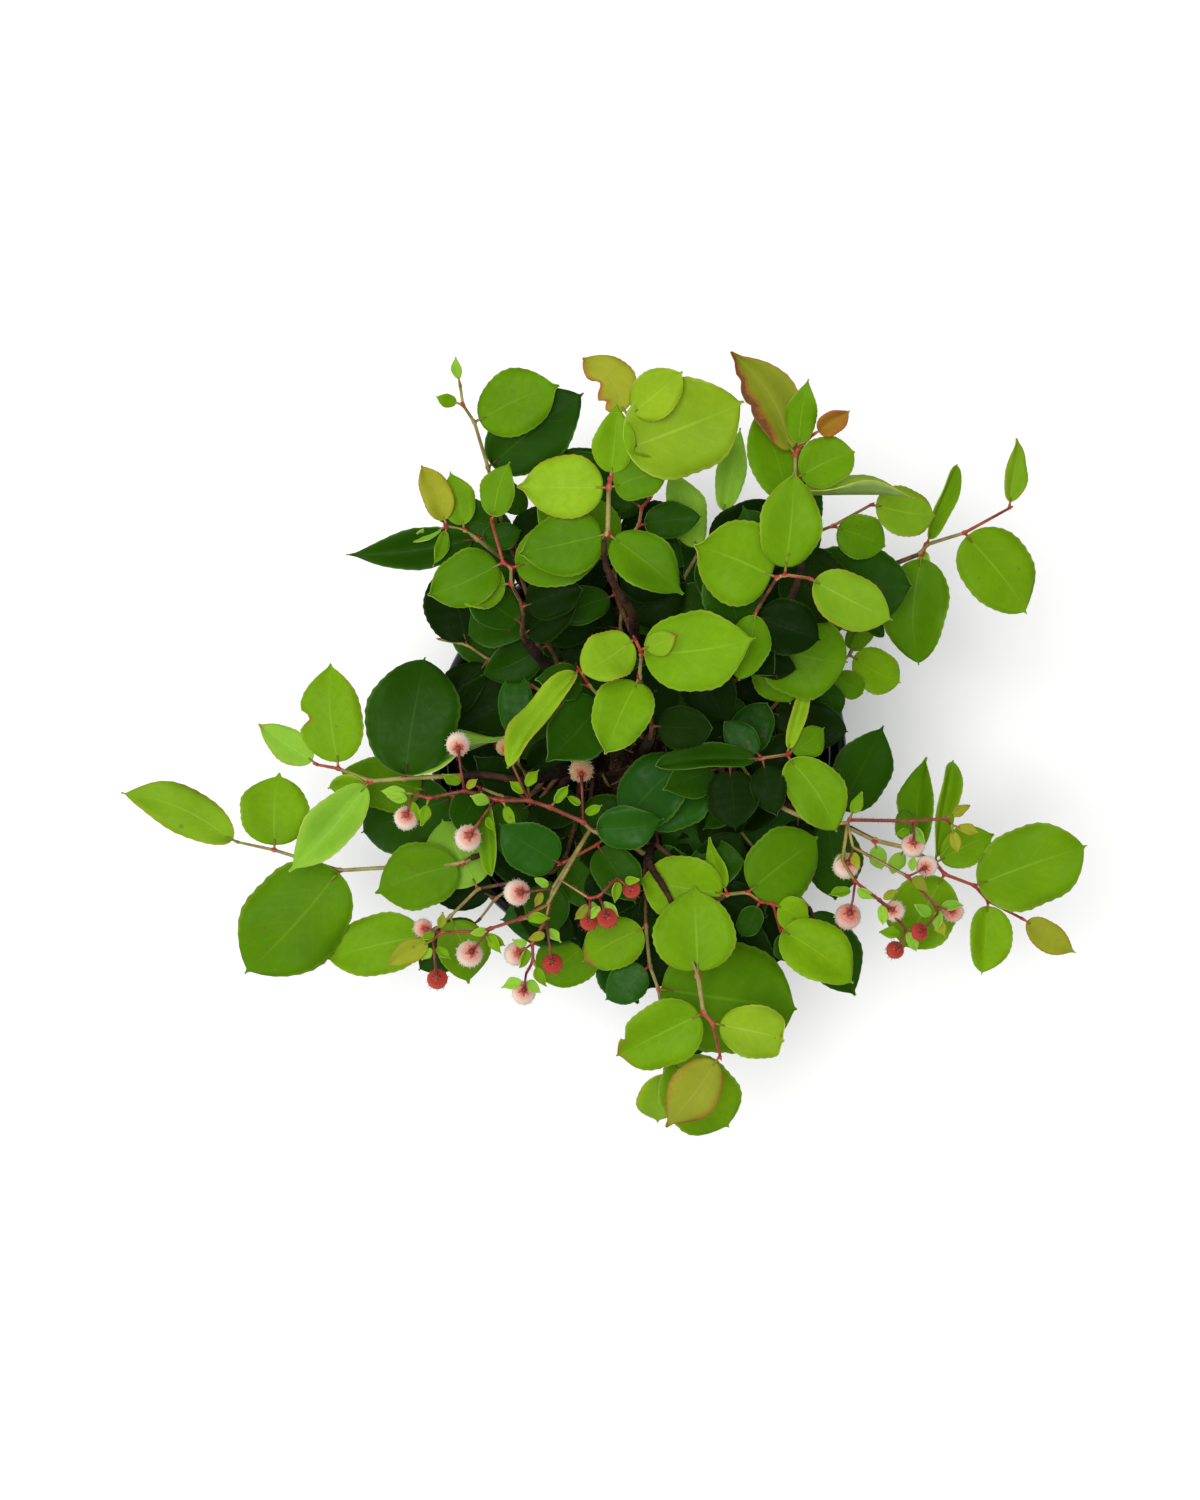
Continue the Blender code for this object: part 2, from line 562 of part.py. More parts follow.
def leaf_rings(frame, length, width, thickness, spare=0):
    """Diamond rings from the node through the petiole to the blade, and the blade's tip."""
    def ring(x, half, thick, lift, sag):
        return [frame @ Vector((x, half, lift - sag)), frame @ Vector((x, 0, thick - sag)),
                frame @ Vector((x, -half, lift - sag)), frame @ Vector((x, 0, -thick - sag))]

    stalk = PETIOLE_RADIUS + spare
    if spare:
        rings = [ring(GUARD_START, PETIOLE_ROOT, PETIOLE_ROOT, 0, 0)]
    else:
        rings = [ring(-PETIOLE_ROOT, PETIOLE_ROOT, PETIOLE_ROOT, 0, 0)]
    rings.append(ring(PETIOLE_LENGTH, stalk, stalk, 0, 0))
    for share, swell in LEAF_STATIONS:
        half = width / 2 * swell + spare
        sag = LEAF_DROOP * length * share * share
        rings.append(ring(PETIOLE_LENGTH + length * share, half, thickness / 2 + spare, LEAF_CUP * half, sag))
    tip = frame @ Vector((PETIOLE_LENGTH + length + spare, 0, -LEAF_DROOP * length))
    return rings, tip


class Space:
    """The room that is already taken, so that what grows later keeps clear of it."""

    def __init__(self):
        self.taken = []

    def add(self, bm, owner):
        tree = BVHTree.FromBMesh(bm)
        centre = sum((vert.co for vert in bm.verts), Vector()) / len(bm.verts)
        reach = max((vert.co - centre).length for vert in bm.verts)
        self.taken.append((tree, centre, reach, owner))

    def is_free(self, bm, but=None):
        tree = BVHTree.FromBMesh(bm)
        centre = sum((vert.co for vert in bm.verts), Vector()) / len(bm.verts)
        reach = max((vert.co - centre).length for vert in bm.verts)
        for other, middle, span, owner in self.taken:
            if owner == but or (middle - centre).length > span + reach:
                continue
            if tree.overlap(other):
                return False
        return True


def grow_leaf(space, spec, node, way, leaf, rng):
    """Sets one leaf on its node. If its place is taken, it tips and turns by seeded steps or is left out."""
    along, turn, length, form = leaf
    share, edge_on = LEAF_FORMS[form]
    length = length * MM
    width = length * share * rng.uniform(0.95, 1.05)
    rise = math.degrees(math.asin(max(-1, min(1, way.z))))
    pitch = PITCH_SHARE * rise + spec["nod"] + rng.uniform(*PITCH_SPREAD)
    roll = rng.uniform(-ROLL_SPREAD, ROLL_SPREAD) + math.copysign(edge_on, turn)
    for attempt in range(TRIES):
        loose = attempt / TRIES
        frame = leaf_frame(node, way, turn + rng.uniform(-LOOSE_TURN, LOOSE_TURN) * loose,
                           pitch + rng.uniform(-LOOSE_PITCH, LOOSE_PITCH) * loose,
                           roll + rng.uniform(-LOOSE_ROLL, LOOSE_ROLL) * loose)
        rings, tip = leaf_rings(frame, length, width, LEAF_THICKNESS * length, CLEARANCE)
        guard = lofted(rings, tip)
        if space.is_free(guard, spec["spray"] + "_stem"):
            space.add(guard, "leaf")
            guard.free()
            return lofted(*leaf_rings(frame, length, width, LEAF_THICKNESS * length))
        guard.free()
    return None


def flower_solid(node, out, reach, size, spare=0):
    """A stalk that leans out and up from its node and nods, with an urn that hangs from it."""
    up = Vector((0, 0, 1))
    hang = (out * URN_LEAN - up).normalized()
    shoulder = node + out * reach + up * (PEDICEL_RISE * reach)
    knee_out, knee_up = PEDICEL_KNEE
    points = [node, node + out * (knee_out * reach) + up * (knee_up * reach)]
    radii = [PEDICEL_RADIUS, PEDICEL_RADIUS]
    for share, swell in URN_STATIONS:
        points.append(shoulder + hang * (share * size * URN_LENGTH))
        radii.append(swell * size + spare)
    return tube(points, radii, URN_SIDES)


def grow_flower(space, spec, node, way, leaf, rng):
    """Hangs one flower or bud from its node, turning it by seeded steps until its place is free."""
    along, turn, reach, form, size = leaf
    size = size * MM
    for attempt in range(TRIES):
        loose = attempt / TRIES
        swing = rng.uniform(-LOOSE_FLOWER_TURN, LOOSE_FLOWER_TURN) * loose
        heading = heading_of(way) + math.radians(turn + swing)
        rise = rng.uniform(0, LOOSE_FLOWER_RISE) * loose
        out = Vector((math.cos(heading), math.sin(heading), rise)).normalized()
        longer = reach * MM * (1 + LOOSE_FLOWER_REACH * loose)
        guard = flower_solid(node, out, longer, size, CLEARANCE)
        if space.is_free(guard, spec["spray"] + "_stem"):
            space.add(guard, form)
            guard.free()
            return flower_solid(node, out, longer, size)
        guard.free()
    return None


def make_stem(name, foot, tip, space, limbs):
    """A short woody stem with a flared foot, cut flat just clear of the bark mix."""
    ground = SOIL_TOP + GAP
    base = Vector((foot[0] * MM, foot[1] * MM, ground))
    top = at_mm(tip)
    points = curve_between(base, Vector((0, 0, 1)), top, (top - base).normalized(), STEM_RINGS)
    flare_end = base + (points[1] - base) * STEM_FLARE_END
    line = [base, flare_end] + points[1:]
    radii = even_radii(STEM_FOOT_RADIUS, STEM_TIP_RADIUS, len(line))
    radii[0] *= STEM_FLARE
    bm = tube(line, radii, STEM_SIDES, Vector((0, 0, 1)))
    space.add(bm, name)
    limbs[name] = dict(points=points, root=STEM_FOOT_RADIUS, tip=STEM_TIP_RADIUS)
    return object_from(bm, name, plain_material(name + "_bark", (0.16, 0.09, 0.05), 0.8))


def make_bough(name, limb, share, spec, space, limbs):
    """One tapering limb from a stem to the place where its spray begins."""
    end = at_mm(spec["start"])
    start, way = departure(limbs[limb], share, end)
    points = curve_between(start, way, end, shoot_way(spec, 0), BOUGH_RINGS)
    bm = tube(points, even_radii(BOUGH_ROOT_RADIUS, BOUGH_TIP_RADIUS, len(points)), BOUGH_SIDES, way)
    space.add(bm, name)
    limbs[name] = dict(points=points, root=BOUGH_ROOT_RADIUS, tip=BOUGH_TIP_RADIUS)
    return object_from(bm, name, plain_material(name + "_bark", (0.22, 0.09, 0.05), 0.7))


def grow_spray_stem(spec, space, limbs):
    """The stem of one spray: a lead from its limb, if it has one, and then its zigzag line of nodes."""
    begin = at_mm(spec["start"])
    start, way = departure(limbs[spec["limb"]], spec["at"], begin)
    if (begin - start).length < SHORTEST_LEAD:
        line = [start]
    else:
        line = curve_between(start, way, begin, shoot_way(spec, 0), SPRAY_LEAD_RINGS)
    lead = list(line)
    nodes = shoot_nodes(spec)
    line = spaced(line + [node for node, along in nodes])
    stems = [tube(line, even_radii(SPRAY_ROOT_RADIUS, SPRAY_TIP_RADIUS, len(line)), SPRAY_SIDES, way)]
    held = list(zip(nodes, spec["leaves"]))
    for side in spec["side_shoots"]:
        nodes = shoot_nodes(side)
        line = spaced([begin, at_mm(side["start"])] + [node for node, along in nodes])
        stems.append(tube(line, even_radii(SIDE_ROOT_RADIUS, SPRAY_TIP_RADIUS, len(line)), TWIG_SIDES))
        held += list(zip(nodes, side["leaves"]))
    for bm in stems:
        space.add(bm, spec["spray"] + "_stem")
    return stems, held, lead


def lead_leaves(spec, lead):
    """Older leaves on the stretch between a spray's limb and its first node, to its two sides in turn."""
    if spec["spray"].startswith("blossom"):
        return []
    rng = random.Random("lead " + spec["spray"])
    run = sum((after - before).length for before, after in zip(lead, lead[1:]))
    count = min(LEAD_LEAVES, int(run / LEAD_LEAF_SPACING))
    held = []
    for index in range(count):
        turn = rng.uniform(*LEAD_LEAF_TURN) * (1 if index % 2 else -1)
        length = rng.uniform(*LEAD_LEAF_LENGTH)
        form = rng.choice(OLDER_FORMS)
        held.append((point_along(lead, (index + LEAD_LEAF_START) / count), (0, turn, length, form)))
    return held


def grow_all(spec, held, space, rng):
    """The solids of all leaves and flowers that find room on their nodes."""
    pieces = []
    for (node, way), leaf in held:
        grow = grow_flower if leaf[3] in ("bell", "bud") else grow_leaf
        solid = grow(space, spec, node, way, leaf, rng)
        if solid is None:
            print("no room on", spec["spray"], "for", leaf)
        else:
            pieces.append(solid)
    return pieces


def join_spray(spec, stems, leaves):
    """A spray's stems and all that they carry, joined in one solid."""
    green = plain_material(spec["spray"] + "_green", (0.20, 0.36, 0.04), 0.5)
    target = object_from(stems[0], spec["spray"], green)
    pieces = [object_from(bm, "piece") for bm in stems[1:] + leaves]
    apply_boolean(target, pieces, "UNION")
    keep_largest_body(target)
    return target


def undergrowth_shoot(name, limb, share, way_out):
    """A low leafy shoot that runs out from a stem to the pot's rim, beneath the crown."""
    rng = random.Random(name)
    out = math.radians(way_out)
    ends = []
    for reach, height in zip(UNDERGROWTH_REACH, UNDERGROWTH_HEIGHT):
        ends.append((reach * math.cos(out), reach * math.sin(out), height + rng.uniform(-3, 3)))
    leaves = []
    for index in range(UNDERGROWTH_LEAVES):
        along = UNDERGROWTH_FIRST + (1 - UNDERGROWTH_FIRST) * index / UNDERGROWTH_LEAVES
        turn = rng.uniform(*UNDERGROWTH_TURN) * (1 if index % 2 else -1)
        leaves.append((along, turn, rng.uniform(*UNDERGROWTH_LENGTH), rng.choice(OLDER_FORMS)))
    leaves.append((1, rng.uniform(-10, 10), rng.uniform(*UNDERGROWTH_END_LENGTH), "oval"))
    bow = rng.uniform(-UNDERGROWTH_BOW, UNDERGROWTH_BOW)
    return shoot(name, limb, share, ends[0], ends[1], bow=bow, nod=UNDERGROWTH_NOD, leaves=leaves)


def main():
    clean_scene()
    space = Space()
    limbs = {}
    for solid in (make_pot(), make_soil()):
        bm = bmesh.new()
        bm.from_mesh(solid.data)
        space.add(bm, solid.name)
        bm.free()
    shoots = list(SHOOTS) + [undergrowth_shoot(*low) for low in UNDERGROWTH]
    specs = {spec["spray"]: spec for spec in shoots}
    for name, foot, tip in STEMS:
        make_stem(name, foot, tip, space, limbs)
    for name, limb, share, spray in BOUGHS:
        make_bough(name, limb, share, specs[spray], space, limbs)
    stems = [grow_spray_stem(spec, space, limbs) for spec in shoots]
    leaves = [grow_all(spec, held, space, random.Random(spec["spray"]))
              for spec, (twigs, held, lead) in zip(shoots, stems)]
    for spec, (twigs, held, lead), grown in zip(shoots, stems, leaves):
        grown += grow_all(spec, lead_leaves(spec, lead), space, random.Random("lead " + spec["spray"]))
        join_spray(spec, twigs, grown)


main()
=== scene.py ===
import json
import math
import random

import bmesh
import bpy
from mathutils import Matrix, Quaternion, Vector, noise
from mathutils.bvhtree import BVHTree

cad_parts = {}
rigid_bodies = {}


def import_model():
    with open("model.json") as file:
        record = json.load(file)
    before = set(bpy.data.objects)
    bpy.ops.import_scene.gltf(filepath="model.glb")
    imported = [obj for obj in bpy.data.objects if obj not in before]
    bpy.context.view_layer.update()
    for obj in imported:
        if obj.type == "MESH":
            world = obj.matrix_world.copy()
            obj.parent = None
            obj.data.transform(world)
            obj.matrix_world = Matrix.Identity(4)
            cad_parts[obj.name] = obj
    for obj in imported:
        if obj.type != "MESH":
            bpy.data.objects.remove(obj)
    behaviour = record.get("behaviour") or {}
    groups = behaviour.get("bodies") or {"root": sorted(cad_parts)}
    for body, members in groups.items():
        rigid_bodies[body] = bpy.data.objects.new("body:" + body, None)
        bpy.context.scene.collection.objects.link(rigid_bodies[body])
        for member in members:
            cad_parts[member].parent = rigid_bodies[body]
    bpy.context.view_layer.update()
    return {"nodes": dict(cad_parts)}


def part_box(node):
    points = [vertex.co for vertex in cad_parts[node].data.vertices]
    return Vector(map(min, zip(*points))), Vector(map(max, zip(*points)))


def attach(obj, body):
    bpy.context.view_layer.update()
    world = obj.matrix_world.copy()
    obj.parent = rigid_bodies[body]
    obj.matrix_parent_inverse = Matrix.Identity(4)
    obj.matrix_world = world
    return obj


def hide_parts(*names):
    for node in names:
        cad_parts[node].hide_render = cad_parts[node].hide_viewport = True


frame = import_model()
mm = 0.001
up = Vector((0, 0, 1))
nodes = frame["nodes"]

# What the plant grows by, the same as in the solids' source. The shoots below are in millimetres and degrees.
growth = {
    "gap": 0.3 * mm,
    "soilTop": 145 * mm,
    "stemRadius": (3.0 * mm, 1.9 * mm),
    "stemFlare": 1.75,
    "stemFlareEnd": 0.4,
    "stemRings": 7,
    "boughRadius": (1.6 * mm, 1.1 * mm),
    "boughRings": 8,
    "sprayRadius": (1.0 * mm, 0.55 * mm),
    "sideRadius": 0.7 * mm,
    "leadRings": 5,
    "shortestLead": 2 * mm,
    "curveReach": 0.38,
    "petioleLength": 2.8 * mm,
    "petioleRadius": 0.6 * mm,
    "petioleRoot": 0.3 * mm,
    "guardStart": 2.2 * mm,
    "zigzag": 1.1 * mm,
    "nodeSpacing": 2.2 * mm,
    "stemStep": 1 * mm,
    "leadLeafSpacing": 9 * mm,     # closer than in the source, for the leaves that fill the crown's inside
    "leadLeaves": 8,
    "leadLeafLength": (20, 30),
    "leadLeafTurn": (55, 95),
    "leadLeafStart": 0.7,
    "clearance": 0.45 * mm,
    "pitchShare": 0.5,
    "pitchSpread": (-8, 12),
    "rollSpread": 12,
    "tries": 24,
    "looseTurn": 14,         # how far a leaf gives way to find room, in degrees
    "loosePitch": 40,
    "looseRoll": 35,
    "looseFlowerTurn": 50,
    "looseFlowerRise": 0.8,
    "looseFlowerReach": 0.6,
    "leafThickness": 0.021,
    "leafCup": 0.13,
    "leafDroop": 0.10,
    "leafStations": ((0.10, 0.70), (0.43, 1.0), (0.82, 0.72)),
    "urnStations": ((0.0, 0.16), (0.12, 0.40), (0.45, 0.50), (0.78, 0.36), (1.0, 0.22)),
    "urnSides": 5,
    "urnLength": 1.15,
    "urnLean": 0.35,
    "pedicelRadius": 0.45 * mm,
    "pedicelKnee": (0.55, 0.3),
    "pedicelRise": 0.1,
    "olderForms": ("broad", "oval", "wide"),
}

leafForms = {
    "round": (1.00, 0),
    "wide": (0.88, 0),
    "broad": (0.77, 0),
    "oval": (0.66, 0),
    "long": (0.53, 0),
    "lance": (0.40, 8),
    "strap": (0.30, 15),
    "edge": (0.60, 62),
    "bract": (0.55, 0),
}

# name, foot (x, y), tip (x, y, z)
stems = (
    ("stem_left", (-16, -3), (-42, -10, 212)),
    ("stem_front", (5, -17), (3, -40, 210)),
    ("stem_right", (20, -4), (46, -16, 203)),
    ("stem_back_right", (15, 13), (40, 37, 232)),
    ("stem_back", (0, 19), (-3, 50, 238)),
    ("stem_back_left", (-17, 12), (-43, 42, 214)),
    ("stem_centre", (2, 0), (3, 6, 238)),
)

# name, the stem it leaves, how far up that stem, and the spray that it carries
boughs = (
    ("bough_far_left", "stem_left", 0.50, "far_left"),
    ("bough_left", "stem_left", 1.0, "left"),
    ("bough_front", "stem_front", 1.0, "front"),
    ("bough_right", "stem_right", 0.82, "right"),
    ("bough_right_back", "stem_back_right", 0.40, "right_back"),
    ("bough_back_right", "stem_back_right", 1.0, "back_right_high"),
    ("bough_back", "stem_back", 1.0, "back_high"),
    ("bough_back_left", "stem_back_left", 0.45, "back_left"),
)


def shoot(spray, limb, at, start, end, bow=0, nod=0, leaves=(), sideShoots=()):
    # a leaf is (share of the way along, turn, length, form, tint), a flower (share, turn, stalk, form, size)
    return dict(spray=spray, limb=limb, at=at, start=start, end=end, bow=bow, nod=nod, leaves=leaves,
                sideShoots=sideShoots)


def sideShoot(start, end, bow=0, leaves=()):
    return dict(start=start, end=end, bow=bow, leaves=leaves)


shoots = [
    shoot("centre_top", "stem_centre", 1.0, (3, 14, 253), (-3, 41, 279), leaves=(
        (0.53, 145, 28, "broad", "young"), (0.79, -95, 39, "broad", "young"),
        (0.85, -80, 12, "broad", "yellow"), (1, 110, 22, "wide", "yellow"))),
    shoot("back_right_top", "stem_back_right", 0.92, (41, 52, 267), (59, 63, 273), bow=5, leaves=(
        (0, -180, 24, "oval", "mid"), (0.56, 135, 30, "round", "young"), (0.68, 70, 34, "oval", "young"),
        (1, -15, 31, "oval", "yellow"))),
    shoot("back_high", "bough_back", 1.0, (-14, 77, 263), (-5, 121, 271), bow=1, leaves=(
        (0.06, -120, 32, "oval", "mid"), (0.1, 110, 30, "broad", "mid"),
        (0.42, 100, 30, "broad", "yellow"), (0.44, -65, 19, "wide", "mid"),
        (0.49, 5, 24, "oval", "young"), (0.73, -55, 44, "broad", "light"),
        (1, -30, 23, "broad", "light"), (1, 55, 24, "oval", "bronze"))),
    shoot("back_right_high", "bough_back_right", 1.0, (57, 82, 251), (62, 118, 257), bow=5, leaves=(
        (0.24, 10, 34, "oval", "mid"), (0.35, -90, 41, "edge", "light"), (0.5, -60, 21, "wide", "young"),
        (0.72, 55, 42, "long", "bronze"), (0.78, 25, 23, "long", "young"),
        (0.96, -25, 13, "broad", "orange"))),
    shoot("centre_left", "stem_centre", 0.86, (-6, 12, 231), (-23, 31, 253), leaves=(
        (0.45, 95, 30, "broad", "dark"), (0.73, 40, 19, "broad", "dark"), (1, 100, 42, "strap", "yellow"))),
    shoot("back_left_top", "stem_back_left", 1.0, (-45, 57, 241), (-55, 85, 249), leaves=(
        (0.22, 75, 18, "round", "young"), (0.4, -95, 33, "broad", "mid"), (0.49, 95, 27, "broad", "mid"),
        (1, -35, 20, "oval", "young"))),
    shoot("back_right_out", "stem_back_right", 0.72, (64, 82, 237), (87, 95, 231), leaves=(
        (0.28, -50, 19, "wide", "mid"), (0.9, -35, 23, "wide", "yellow"))),
    shoot("centre_front", "stem_front", 0.88, (0, -23, 201), (-30, -41, 225), leaves=(
        (0.06, 180, 32, "broad", "blue"), (0.22, -165, 33, "broad", "blue"),
        (0.57, 95, 24, "broad", "dark"), (1, -60, 25, "broad", "blue"))),
    shoot("front", "bough_front", 1.0, (12, -57, 211), (30, -114, 215), leaves=(
        (0.48, 165, 31, "round", "young"), (0.71, -80, 34, "broad", "young"),
        (0.79, 60, 30, "oval", "light"), (1, -55, 31, "oval", "bronze"))),
    shoot("right_inner", "stem_right", 0.74, (36, -4, 217), (56, -1, 221), leaves=(
        (0.49, 175, 38, "strap", "dark"), (0.53, 130, 17, "oval", "blue"),
        (0.56, -85, 20, "oval", "deep"), (0.95, 65, 24, "strap", "yellow"),
        (0.99, 25, 15, "broad", "mid"), (1, -65, 32, "oval", "young"))),
    shoot("back_right_low", "stem_back_right", 0.84, (41, 41, 227), (58, 66, 223), leaves=(
        (0.08, -70, 32, "round", "mid"), (0.27, -130, 28, "broad", "mid"),
        (0.73, 45, 25, "broad", "dark"), (1, -60, 41, "broad", "dark"))),
    shoot("left", "bough_left", 1.0, (-67, -8, 213), (-123, -4, 207), bow=4, leaves=(
        (0.4, -100, 44, "broad", "dark"), (0.4, -145, 41, "edge", "pale"),
        (0.63, 55, 44, "long", "pale"), (0.66, 25, 16, "oval", "young"),
        (0.86, -70, 37, "oval", "young"), (1, -15, 26, "long", "pale"))),
    shoot("front_right", "stem_front", 0.78, (31, -55, 209), (55, -68, 201), bow=7, leaves=(
        (0.06, 95, 20, "lance", "young"), (0.11, 160, 31, "wide", "young"),
        (0.29, 40, 33, "wide", "mid"), (0.49, -90, 13, "broad", "dark"),
        (0.66, 25, 13, "round", "young"), (0.95, -5, 12, "oval", "dark"), (1, 40, 32, "broad", "young"))),
    shoot("back_left", "bough_back_left", 1.0, (-52, 74, 209), (-74, 88, 217), leaves=(
        (0.47, -135, 14, "broad", "dark"), (0.51, 40, 47, "lance", "dark"),
        (0.69, -45, 20, "oval", "young"), (0.93, 105, 14, "lance", "young"),
        (0.96, 55, 14, "lance", "pale"), (1, -35, 22, "long", "bronze"))),
    shoot("back_left_young", "stem_back_left", 0.86, (-53, 89, 213), (-67, 136, 239), leaves=(
        (0.39, -70, 43, "oval", "dark"), (0.73, -85, 32, "broad", "mid"), (0.87, 60, 8, "oval", "young"),
        (1, -5, 8, "bract", "pale"))),
    shoot("back_low", "stem_back", 0.55, (11, 55, 209), (31, 90, 215), leaves=(
        (0.2, 50, 25, "long", "dark"), (0.59, 45, 31, "long", "pale"), (0.66, -25, 28, "oval", "deep"),
        (1, 20, 31, "lance", "pale"))),
    shoot("back_inner", "stem_back", 0.78, (-9, 73, 223), (3, 95, 229), leaves=(
        (0.2, 90, 34, "broad", "mid"), (0.6, -55, 21, "oval", "dark"), (0.84, 85, 35, "long", "dark"),
        (1, 40, 14, "oval", "dark"))),
    shoot("centre_back", "stem_centre", 0.7, (10, 24, 217), (18, 37, 221), leaves=(
        (0.42, 65, 15, "oval", "dark"), (0.77, -160, 24, "wide", "dark"), (1, -120, 26, "broad", "deep"))),
    shoot("right_back", "bough_right_back", 1.0, (93, 71, 209), (141, 94, 203), leaves=(
        (0.28, -120, 39, "oval", "mid"), (0.34, 40, 32, "strap", "young"),
        (0.35, -125, 31, "strap", "pale"), (0.63, -75, 38, "broad", "young"),
        (1, 55, 25, "lance", "yellow"))),
    shoot("right", "bough_right", 1.0, (80, -28, 201), (150, -66, 179), bow=3, leaves=(
        (0.14, -55, 9, "broad", "pale"), (0.29, 115, 13, "oval", "mid"), (0.31, -85, 9, "broad", "pale"),
        (0.37, 115, 39, "lance", "mid"), (0.46, 105, 42, "strap", "young"),
        (0.48, 55, 24, "oval", "young"), (0.53, -90, 32, "wide", "young"),
        (0.69, 50, 44, "broad", "young"), (0.79, -60, 26, "broad", "young"),
        (0.98, 5, 23, "long", "bronze"))),
    shoot("front_low", "stem_front", 0.6, (2, -50, 199), (11, -123, 185), bow=-1, leaves=(
        (0.22, -65, 26, "broad", "young"), (0.43, -60, 19, "broad", "blue"),
        (0.56, 75, 53, "wide", "mid"), (0.94, 30, 36, "wide", "young"), (0.99, -10, 28, "oval", "yellow"))),
    shoot("far_left", "bough_far_left", 1.0, (-65, -40, 195), (-157, -33, 181), bow=8, leaves=(
        (0.04, 5, 33, "broad", "mid"), (0.55, 55, 52, "broad", "mid"), (0.84, -75, 27, "round", "young"),
        (0.99, 0, 48, "lance", "yellow"))),
    shoot("left_low", "stem_left", 0.4, (-42, -48, 195), (-81, -71, 185), bow=-6, leaves=(
        (0.44, -90, 28, "wide", "pale"), (0.77, 60, 25, "broad", "young"),
        (0.99, -45, 39, "oval", "young"))),
    shoot("left_inner", "stem_left", 0.8, (-48, -17, 205), (-62, -11, 211), leaves=(
        (0.36, 125, 25, "long", "dark"), (0.87, 120, 31, "strap", "young"), (1, 80, 21, "oval", "dark"))),
    shoot("centre_right", "stem_right", 0.55, (45, -14, 187), (32, 4, 191), leaves=(
        (0.2, -75, 20, "oval", "deep"), (0.67, -65, 22, "broad", "blue"),
        (0.83, 55, 20, "broad", "deep"), (0.99, 0, 19, "broad", "deep"))),
    shoot("centre_low", "stem_left", 0.62, (-43, -18, 179), (-48, 4, 185), leaves=(
        (0, -120, 25, "broad", "deep"), (0.45, -70, 19, "broad", "deep"),
        (0.63, 60, 25, "broad", "deep"), (0.98, -10, 28, "long", "blue"))),
    shoot("right_side", "stem_right", 0.64, (60, 25, 184), (85, 39, 173), leaves=(
        (0.44, -100, 16, "oval", "dark"), (0.56, -60, 14, "broad", "mid"), (0.92, 45, 12, "oval", "mid"),
        (0.93, 20, 13, "long", "mid"), (0.98, -55, 22, "broad", "young"))),
    shoot("right_low", "stem_right", 0.3, (65, -24, 175), (80, -25, 169), leaves=(
        (0.2, -160, 28, "oval", "blue"), (0.62, -80, 31, "broad", "dark"), (0.88, 65, 37, "oval", "dark"))),
    shoot("left_under", "stem_left", 0.3, (-58, -18, 177), (-84, -14, 173), leaves=(
        (0.55, 30, 40, "broad", "dark"), (1, -10, 31, "broad", "mid"))),
    shoot("front_left", "stem_front", 0.3, (-11, -51, 173), (-15, -75, 167), leaves=(
        (0.35, -75, 39, "oval", "blue"), (0.76, -40, 30, "broad", "mid"), (1, 40, 27, "oval", "blue"))),
    shoot("back_left_low", "stem_back_left", 0.2, (-27, 39, 161), (-60, 53, 187), leaves=(
        (0.07, 5, 49, "oval", "dark"), (0.37, 175, 8, "oval", "dark"), (0.67, -140, 9, "oval", "dark"),
        (1, 90, 8, "bract", "mid"))),
    shoot("right_mid", "stem_back_right", 0.52, (64, 44, 195), (84, 55, 199), leaves=(
        (0.61, 60, 16, "broad", "dark"), (0.83, 5, 23, "broad", "dark"), (1, -75, 11, "oval", "dark"))),
    shoot("back_left_mid", "stem_back_left", 0.62, (-48, 75, 199), (-38, 97, 207), leaves=(
        (0.18, 90, 23, "broad", "dark"), (0.52, -45, 27, "broad", "dark"),
        (0.75, 85, 17, "oval", "dark"), (1, -25, 27, "oval", "dark"))),
    shoot("front_inner", "stem_front", 0.48, (6, -45, 195), (25, -52, 199), leaves=(
        (0.25, 80, 13, "oval", "deep"), (0.49, -120, 17, "broad", "deep"),
        (0.73, 65, 24, "broad", "deep"), (1, -5, 23, "broad", "deep"))),
    shoot("blossom_left", "stem_front", 0.97, (-19, -28, 227), (-86, -16, 237), bow=-6, leaves=(
        (0, -145, 25, "oval", "blue"), (0.05, -60, 18, "bell", 9), (0.24, -110, 8, "bract", "young"),
        (0.36, -50, 21, "bud", 7), (0.5, 125, 8, "bract", "young"), (0.54, 60, 15, "bell", 10),
        (0.71, -80, 16, "bell", 9), (0.9, 70, 8, "bract", "young"), (0.98, -15, 9, "bract", "pale"),
        (1, 65, 8, "bell", 9)), sideShoots=(
        sideShoot((-35, -56, 228), (-79, -68, 230), bow=2, leaves=(
            (0.24, 160, 8, "bract", "young"), (0.5, 35, 11, "bell", 10),
            (0.58, 135, 8, "bract", "young"), (0.9, -20, 6, "bell", 7),
            (0.97, 25, 17, "bract", "bronze"), (1, 90, 14, "bud", 8))),
        sideShoot((-33, -50, 227), (-43, -82, 228), leaves=(
            (0, -65, 12, "bell", 10), (0.35, 25, 16, "bud", 8), (0.66, -40, 6, "bell", 9),
            (0.84, 45, 8, "bract", "young"), (1, 10, 6, "bell", 9))),
        sideShoot((-30, -47, 228), (-9, -46, 232), bow=-6, leaves=(
            (0.5, -95, 8, "bud", 7), (0.65, -120, 6, "bud", 8), (1, -90, 6, "bud", 7))),
    )),
    shoot("blossom_right", "stem_right", 1.0, (78, -26, 217), (119, -26, 217), bow=2, leaves=(
        (0.02, 55, 9, "bract", "young"), (0.6, -85, 8, "bell", 9), (0.9, 35, 8, "bract", "bronze"),
        (0.96, -5, 8, "bract", "bronze"), (0.99, -65, 8, "bract", "bronze")), sideShoots=(
        sideShoot((80, -35, 217), (112, -60, 217), bow=3, leaves=(
